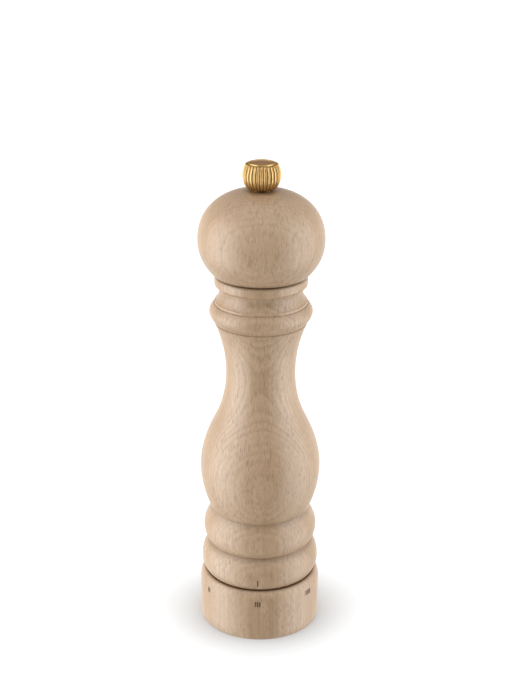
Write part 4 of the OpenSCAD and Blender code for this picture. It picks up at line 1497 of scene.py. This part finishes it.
@dataclass
class FlutedKnob:
    """The brass knob: a fluted side, a plain rim and a dished top. Sizes in mm.

    The side is an arc of side_radius round a waist that stands out to radius.
    The flutes start to run out half of flute_end, in degrees, before the arc
    ends. rim_edge lists the rim's section: how far a point lies outside the
    rim's radius, and how far under the top, as a share of rim_drop. rim_start
    is one more such point, its radius counted from the side's end. dish_wall
    is how far in the dish's wall ends, and how deep it starts, as a share of
    dish_depth.
    """

    radius: float = 8.37
    side_radius: float = 9.0
    side_rows: int = 44
    foot_radius: float = 5.25
    foot_height: float = 0.6
    foot_ease: Pair = (0.12, 0.08)
    underside_painted_shade: float = 0.9
    waist: float = 6.3
    rim_radius: float = 5.72
    rim_drop: float = 0.8
    rim_start: Pair = (-0.14, 0.84)
    rim_edge: Pairs = (
        (0.68, 0.76),
        (0.34, 0.66),
        (0.10, 0.60),
        (0.03, 0.52),
        (0.01, 0.36),
        (-0.04, 0.17),
        (-0.14, 0.05),
        (-0.27, 0.0),
        (-0.40, 0.05),
        (-0.50, 0.17),
    )
    rim_width: float = 0.75
    dish_depth: float = 0.5
    dish_wall: Pair = (0.12, 0.8)
    pilot_radius: float = 3.6
    pilot_height: float = 0.4
    bore_radius: float = 2.56
    bore_depth: float = 5.75
    flutes: int = 32
    flute_radius: float = 0.62
    flute_depth: float = 0.34
    flute_end: float = 4.0
    columns_per_flute: int = 16
    crisp_angle: float = 30.0

    def underside(self, low: float) -> np.ndarray:
        """Bore, pilot and foot.

        Args:
            low: height of the knob's lowest point.

        Returns:
            The profile from the bore's end out to the foot's eased edge.
        """
        foot = low + self.pilot_height
        out, up = self.foot_ease
        return path(
            (0.0, low + self.bore_depth),
            (self.bore_radius, low + self.bore_depth),
            (self.bore_radius, low),
            (self.pilot_radius, low),
            (self.pilot_radius, foot),
            (self.foot_radius, foot),
            (self.foot_radius + out, foot + up),
        )

    def side(self, foot: float, top: float) -> tuple[np.ndarray, np.ndarray]:
        """The round side, and how deep the flutes are cut in it.

        Args:
            foot: height of the foot.
            top: height of the knob's top.

        Returns:
            The profile, upwards, and a share of the flutes' full depth for
            each of its rows. It falls towards the arc's end.
        """
        waist = foot + self.waist
        low = np.arcsin((foot + self.foot_height - waist) / self.side_radius)
        high = np.arcsin((top - self.rim_drop - waist) / self.side_radius)
        sweep = np.linspace(low, high, self.side_rows)
        centre = self.radius - self.side_radius
        across = centre + self.side_radius * np.cos(sweep)
        share = np.clip((high - sweep) / radians(self.flute_end) + 0.5, 0.0, 1.0)
        profile = np.column_stack((across, waist + self.side_radius * np.sin(sweep)))
        return profile, np.sqrt(1.0 - (1.0 - share) ** 2)

    def rim(self, side_end: float, top: float) -> np.ndarray:
        """The plain rounded rim.

        Args:
            side_end: radius of the side's upper end.
            top: height of the knob's top.

        Returns:
            The profile from the side inwards.
        """
        out, drop = self.rim_start
        start = (side_end + out, top - drop * self.rim_drop)
        rim = self.rim_radius
        return path(start, [(rim + out, top - drop * self.rim_drop) for out, drop in self.rim_edge])

    def dish(self, top: float) -> np.ndarray:
        """The dish inside the rim.

        Args:
            top: height of the knob's top.

        Returns:
            The profile from the rim to the middle.
        """
        edge, floor = self.rim_radius - self.rim_width, top - self.dish_depth
        inset, drop = self.dish_wall
        return path(
            (edge, top - drop * self.dish_depth),
            (edge - inset, floor),
            (0.5 * edge, floor),
            (0.0, floor),
        )

    def build(self) -> None:
        """Builds and dresses the knob.

        A flute is a round groove: at a distance s from its middle it is the
        root of (flute radius squared minus s squared), less what that circle
        stands outside the knob, and never less than nothing.
        """
        low, top = foot_of("top_knob"), top_of("top_knob")
        underside = self.underside(low)
        side, depth = self.side(low + self.pilot_height, top)
        rim, dish = self.rim(side[-1, 0], top), self.dish(top)
        profile = np.vstack((underside, side, rim, dish))
        share = np.zeros((len(profile), 1))
        side_start = len(underside)
        share[side_start : side_start + len(side), 0] = depth
        # The flutes also cut the foot's edge, which is the underside's last two points.
        share[side_start - 2 : side_start] = 1.0
        count = self.flutes * self.columns_per_flute
        angles = np.arange(count) * WHOLE_TURN / count
        pitch = WHOLE_TURN / self.flutes
        arc = ((angles % pitch) - pitch / 2.0)[None, :] * profile[:, :1]
        chord = np.sqrt(np.maximum(self.flute_radius**2 - arc**2, 0.0))
        groove = np.maximum(chord - (self.flute_radius - self.flute_depth), 0.0) * share
        patina_and_foot_shade = np.clip(groove / self.flute_depth, 0.0, 1.0)
        # Painted shade: the underside takes the flutes' dark colour, as if in shade under the knob.
        patina_and_foot_shade[:side_start] = self.underside_painted_shade
        # The dish takes the brown tint: a matt finish with a painted dark reflection.
        matt_dish_and_reflection = np.zeros_like(patina_and_foot_shade)
        matt_dish_and_reflection[-len(dish) :] = 1.0
        marks = {"patina_and_foot_shade": patina_and_foot_shade, "matt_dish_and_reflection": matt_dish_and_reflection}
        heights = np.repeat(profile[:, 1:], count, axis=1)
        radii = profile[:, :1] - groove
        turning = Turning("fluted_knob", radii, heights, angles, poles=True, marks=marks)
        knob = turning.build(self.crisp_angle)
        dress(knob, Brass().material())
        place_on(knob, "knob", Slot.BRASS, "top_knob")


@dataclass
class Mechanism:
    """The grinding mechanism and the shaft: frame solids with their finishes.

    Args:
        finishes: the material of each slot that it uses, once they are mixed.
    """

    finishes: dict[Slot, bpy.types.Material] = field(default_factory=dict)

    def mix_finishes(self) -> None:
        """Builds one material for each slot that the mechanism uses."""
        mixes = {
            # Painted shade: the washer under the knob is a darker copy of the brass, as if it lay
            # in the knob's shade.
            Slot.BRASS: Brass(
                "shaded_washer_brass",
                bright=(0.300, 0.190, 0.080),
                deep=(0.170, 0.095, 0.035),
                gloss=0.45,
            ),
            Slot.STEEL: Metal(
                "drawn_steel",
                bright=(0.62, 0.63, 0.64),
                dull=(0.50, 0.51, 0.52),
                gloss=(0.24, 0.38),
            ),
            Slot.DARK_STEEL: Metal(
                "blacked_steel",
                bright=(0.16, 0.16, 0.17),
                dull=(0.09, 0.09, 0.10),
                gloss=(0.30, 0.46),
            ),
            Slot.BURR_STEEL: Metal(
                "hardened_steel",
                bright=(0.33, 0.33, 0.34),
                dull=(0.20, 0.19, 0.19),
                gloss=(0.28, 0.44),
                lines=9.0,
                depth=0.01,
            ),
            Slot.NYLON: Moulded(
                "natural_nylon",
                base=(0.80, 0.78, 0.71),
                worn=(0.72, 0.69, 0.60),
                gloss=(0.34, 0.48),
            ),
            Slot.BLACK_PLASTIC: Moulded(
                "black_acetal",
                base=(0.018, 0.018, 0.020),
                worn=(0.035, 0.035, 0.037),
                gloss=(0.34, 0.52),
            ),
        }
        self.finishes = {slot: mix.material() for slot, mix in mixes.items()}

    def build(self) -> None:
        """Dresses each of the frame's solids that still shows."""
        self.mix_finishes()
        for part in frame["record"]["subparts"]:
            solid = frame["nodes"][part["node"]]
            finish = self.finishes.get(Slot(part["material_slot"]))
            if solid.hide_render or finish is None:
                continue
            if not solid.material_slots:
                solid.data.materials.append(finish)
            for slot in solid.material_slots:
                slot.link = "OBJECT"
                slot.material = finish
            LOG.info("%s: dressed in %s", solid.name, finish.name)


# ------------------------------------------------------------------- studio


@dataclass(frozen=True)
class SoftWall:
    """A wall of soft light beside the mill, from under the table upwards.

    Args:
        azimuth: where its middle stands, in degrees from the camera's side.
        spread: degrees from its middle to where it has faded out.
        strength: how bright its middle is.
        edge: sines of the elevations between which its top edge fades out;
            a wall whose sines are over 1 has no top edge.
    """

    azimuth: float
    spread: float
    strength: float
    edge: tuple[float, float] = (1.5, 2.0)

    def heading(self) -> Triple:
        """Level direction from the mill to the middle of the wall."""
        angle = radians(self.azimuth)
        return (float(np.sin(angle)), -float(np.cos(angle)), 0.0)


@dataclass(frozen=True)
class Sky:
    """The light tent round the mill, as one world shader.

    The tent's brightness depends on the level heading: it goes from front to
    back over the sides, and each wall adds its own light. High and low
    directions fade to the brightness of the tent's top and bottom.

    Args:
        front: brightness behind the camera.
        back: brightness behind the mill.
        top: brightness overhead.
        bottom: brightness from below.
        walls: the walls of light.
        turn: share of the heading over which front turns into back.
        rise: sines of the elevations where the top begins and is complete.
        fall: sines of the depressions where the bottom begins and is complete.
    """

    front: float = 0.10
    back: float = 0.42
    top: float = 0.84
    bottom: float = 0.44
    walls: tuple[SoftWall, ...] = (
        SoftWall(-75.0, 43.0, 3.02),
        SoftWall(76.0, 42.0, 2.36),
        SoftWall(180.0, 75.0, 0.90, (-0.05, 0.20)),
    )
    turn: tuple[float, float] = (-0.3, 0.3)
    rise: tuple[float, float] = (0.36, 0.92)
    fall: tuple[float, float] = (0.42, 1.00)

    def build(self) -> None:
        """Writes the world's shader from the tent's sizes."""
        world = bpy.data.worlds.new("light_tent")
        world.use_nodes = True
        bpy.context.scene.world = world
        nodes = Nodes(world.node_tree)
        heading = nodes.node("ShaderNodeTexCoord").outputs["Generated"]
        height = nodes.node("ShaderNodeSeparateXYZ", {0: heading}).outputs["Z"]
        flat = nodes.node(
            "ShaderNodeVectorMath", {0: heading, 1: (1.0, 1.0, 0.0)}, operation="MULTIPLY"
        )
        level = nodes.node(
            "ShaderNodeVectorMath", {0: flat.outputs["Vector"]}, operation="NORMALIZE"
        ).outputs["Vector"]
        depth = nodes.node("ShaderNodeSeparateXYZ", {0: level}).outputs["Y"]
        light = nodes.step(depth, self.turn, (self.front, self.back))
        for wall in self.walls:
            towards = nodes.node(
                "ShaderNodeVectorMath", {0: level, 1: wall.heading()}, operation="DOT_PRODUCT"
            ).outputs["Value"]
            side = float(np.cos(radians(wall.spread)))
            glow = nodes.step(towards, (side, 1.0), (0.0, wall.strength))
            upright = nodes.step(height, wall.edge, (1.0, 0.0))
            light = nodes.node(
                "ShaderNodeMath", {0: glow, 1: upright, 2: light}, operation="MULTIPLY_ADD"
            ).outputs["Value"]
        full, begun = (-sine for sine in reversed(self.fall))
        light = nodes.fade(nodes.step(height, self.rise, (0.0, 1.0)), light, self.top)
        light = nodes.fade(nodes.step(height, (full, begun), (1.0, 0.0)), light, self.bottom)
        background = nodes.tree.nodes["Background"]
        nodes.feed(background.inputs["Strength"], light)
        nodes.feed(background.inputs["Color"], WHITE)


@dataclass
class Studio:
    """Camera, soft light and pale floor. Lengths in metres, angles in degrees.

    Args:
        camera_place: where the camera stands.
        camera_pitch: how far it looks down.
        camera_roll: how far it leans.
        lens: its focal length, in mm.
        sensor: width of its picture, in mm.
        shift: sideways shift of the picture, as a share of it.
        sight: how far it sees.
        floor_middle: radius of the floor's middle, which lies under the mill.
        floor_reach: radius to which the floor is flat.
        floor_sweep: radius of the quarter circle with which it then turns up.
        sweep_rows: number of rows of places on that quarter circle.
        sheet_columns: number of places round the floor.
        floor_colour: colour of the floor in the tent's light.
        floor_rough: its roughness.
        floor_glow: how strongly it shines by itself.
        floor_tint: colour of that shine.
        painted_shadow_reach: how near a thing has to be to dim the floor's glow, a painted contact
            shadow.
        painted_shadow_power: how quickly that painted shadow darkens towards it.
    """

    camera_place: Triple = (0.0, -0.5735, 0.3616)
    camera_pitch: float = 21.65
    camera_roll: float = 0.30
    lens: float = 70.77
    sensor: float = 36.0
    shift: float = 0.0017
    sight: float = 50.0
    floor_middle: float = 0.12
    floor_reach: float = 6.0
    floor_sweep: float = 5.0
    sweep_rows: int = 17
    sheet_columns: int = 96
    floor_colour: Colour = (0.50, 0.50, 0.50)
    floor_rough: float = 0.9
    floor_glow: float = 0.72
    floor_tint: Colour = (0.965, 0.985, 1.0)
    painted_shadow_reach: float = 0.030
    painted_shadow_power: float = 1.8

    def camera(self) -> None:
        """Sets the camera: level over the table, pitched down, rolled a little."""
        data = bpy.data.cameras.new("camera")
        data.sensor_fit = "AUTO"
        data.sensor_width = self.sensor
        data.lens = self.lens
        data.shift_x = self.shift
        data.clip_end = self.sight
        camera = bpy.data.objects.new("camera", data)
        camera.matrix_world = (
            Matrix.Translation(self.camera_place)
            @ Matrix.Rotation(radians(90.0 - self.camera_pitch), 4, "X")
            @ Matrix.Rotation(radians(self.camera_roll), 4, "Z")
        )
        bpy.context.scene.collection.objects.link(camera)
        bpy.context.scene.camera = camera

    def sheet(self) -> tuple[np.ndarray, list[list[int]]]:
        """The floor paper: a round sheet that is flat, then sweeps up far away.

        Its outline is flat out to the reach and then a quarter circle:
        (reach + sweep sin t, sweep (1 - cos t)), carried once round the axis.

        Returns:
            The places in metres, with the middle last, and the faces.
        """
        turn = np.linspace(0.0, 0.5 * np.pi, self.sweep_rows)
        swept = self.floor_reach + self.floor_sweep * np.sin(turn)
        radii = np.concatenate(((self.floor_middle,), swept))
        heights = np.concatenate(((0.0,), self.floor_sweep * (1.0 - np.cos(turn))))
        count = self.sheet_columns
        angles = np.arange(count) * WHOLE_TURN / count
        x, y = radii[:, None] * np.cos(angles), radii[:, None] * np.sin(angles)
        rings = np.stack((x, y, np.repeat(heights[:, None], count, axis=1)), axis=-1)
        places = np.vstack((rings.reshape(-1, 3), np.zeros((1, 3))))
        row, column = np.meshgrid(np.arange(radii.size - 1), np.arange(count), indexing="ij")
        after = (column + 1) % count
        near, far = row * count, (row + 1) * count
        quads = np.stack((near + column, far + column, far + after, near + after), axis=-1)
        here = np.arange(count)
        middle = np.full(count, len(places) - 1)
        fan = np.stack((middle, here, (here + 1) % count), axis=-1)
        return places, quads.reshape(-1, 4).tolist() + fan.tolist()

    def floor(self) -> None:
        """Lays the pale lit floor, whose glow is dimmed where the mill stands close to it: a
        painted contact shadow.
        """
        floor = bpy.data.objects.new("floor", smooth_mesh("floor", *self.sheet()))
        graph = Graph("floor_paper")
        # Painted contact shadow: ambient occlusion dims the floor's own glow near the mill.
        occlusion = graph.node("ShaderNodeAmbientOcclusion", {"Distance": self.painted_shadow_reach})
        light = graph.math("POWER", occlusion.outputs["AO"], self.painted_shadow_power)
        paper = graph.finish(
            Base_Color=self.floor_colour,
            Roughness=self.floor_rough,
            Emission_Color=self.floor_tint,
            Emission_Strength=graph.times(light, self.floor_glow),
        )
        dress(floor, paper)
        floor.visible_diffuse = False
        floor.visible_glossy = False
        floor.visible_shadow = False
        bpy.context.scene.collection.objects.link(floor)

    def build(self) -> None:
        """Sets up the whole studio."""
        self.camera()
        self.floor()
        Sky().build()
        view = bpy.context.scene.view_settings
        view.view_transform = "Standard"
        view.look = "None"


def main() -> None:
    """Builds the studio, the wooden pieces, the knob and the mechanism."""
    logging.basicConfig(level=logging.INFO, format="%(name)s: %(message)s")
    Studio().build()
    SelectorRing().build()
    TurnedBody().build()
    TurnedHead().build()
    FlutedKnob().build()
    Mechanism().build()


if __name__ == "__main__":
    main()
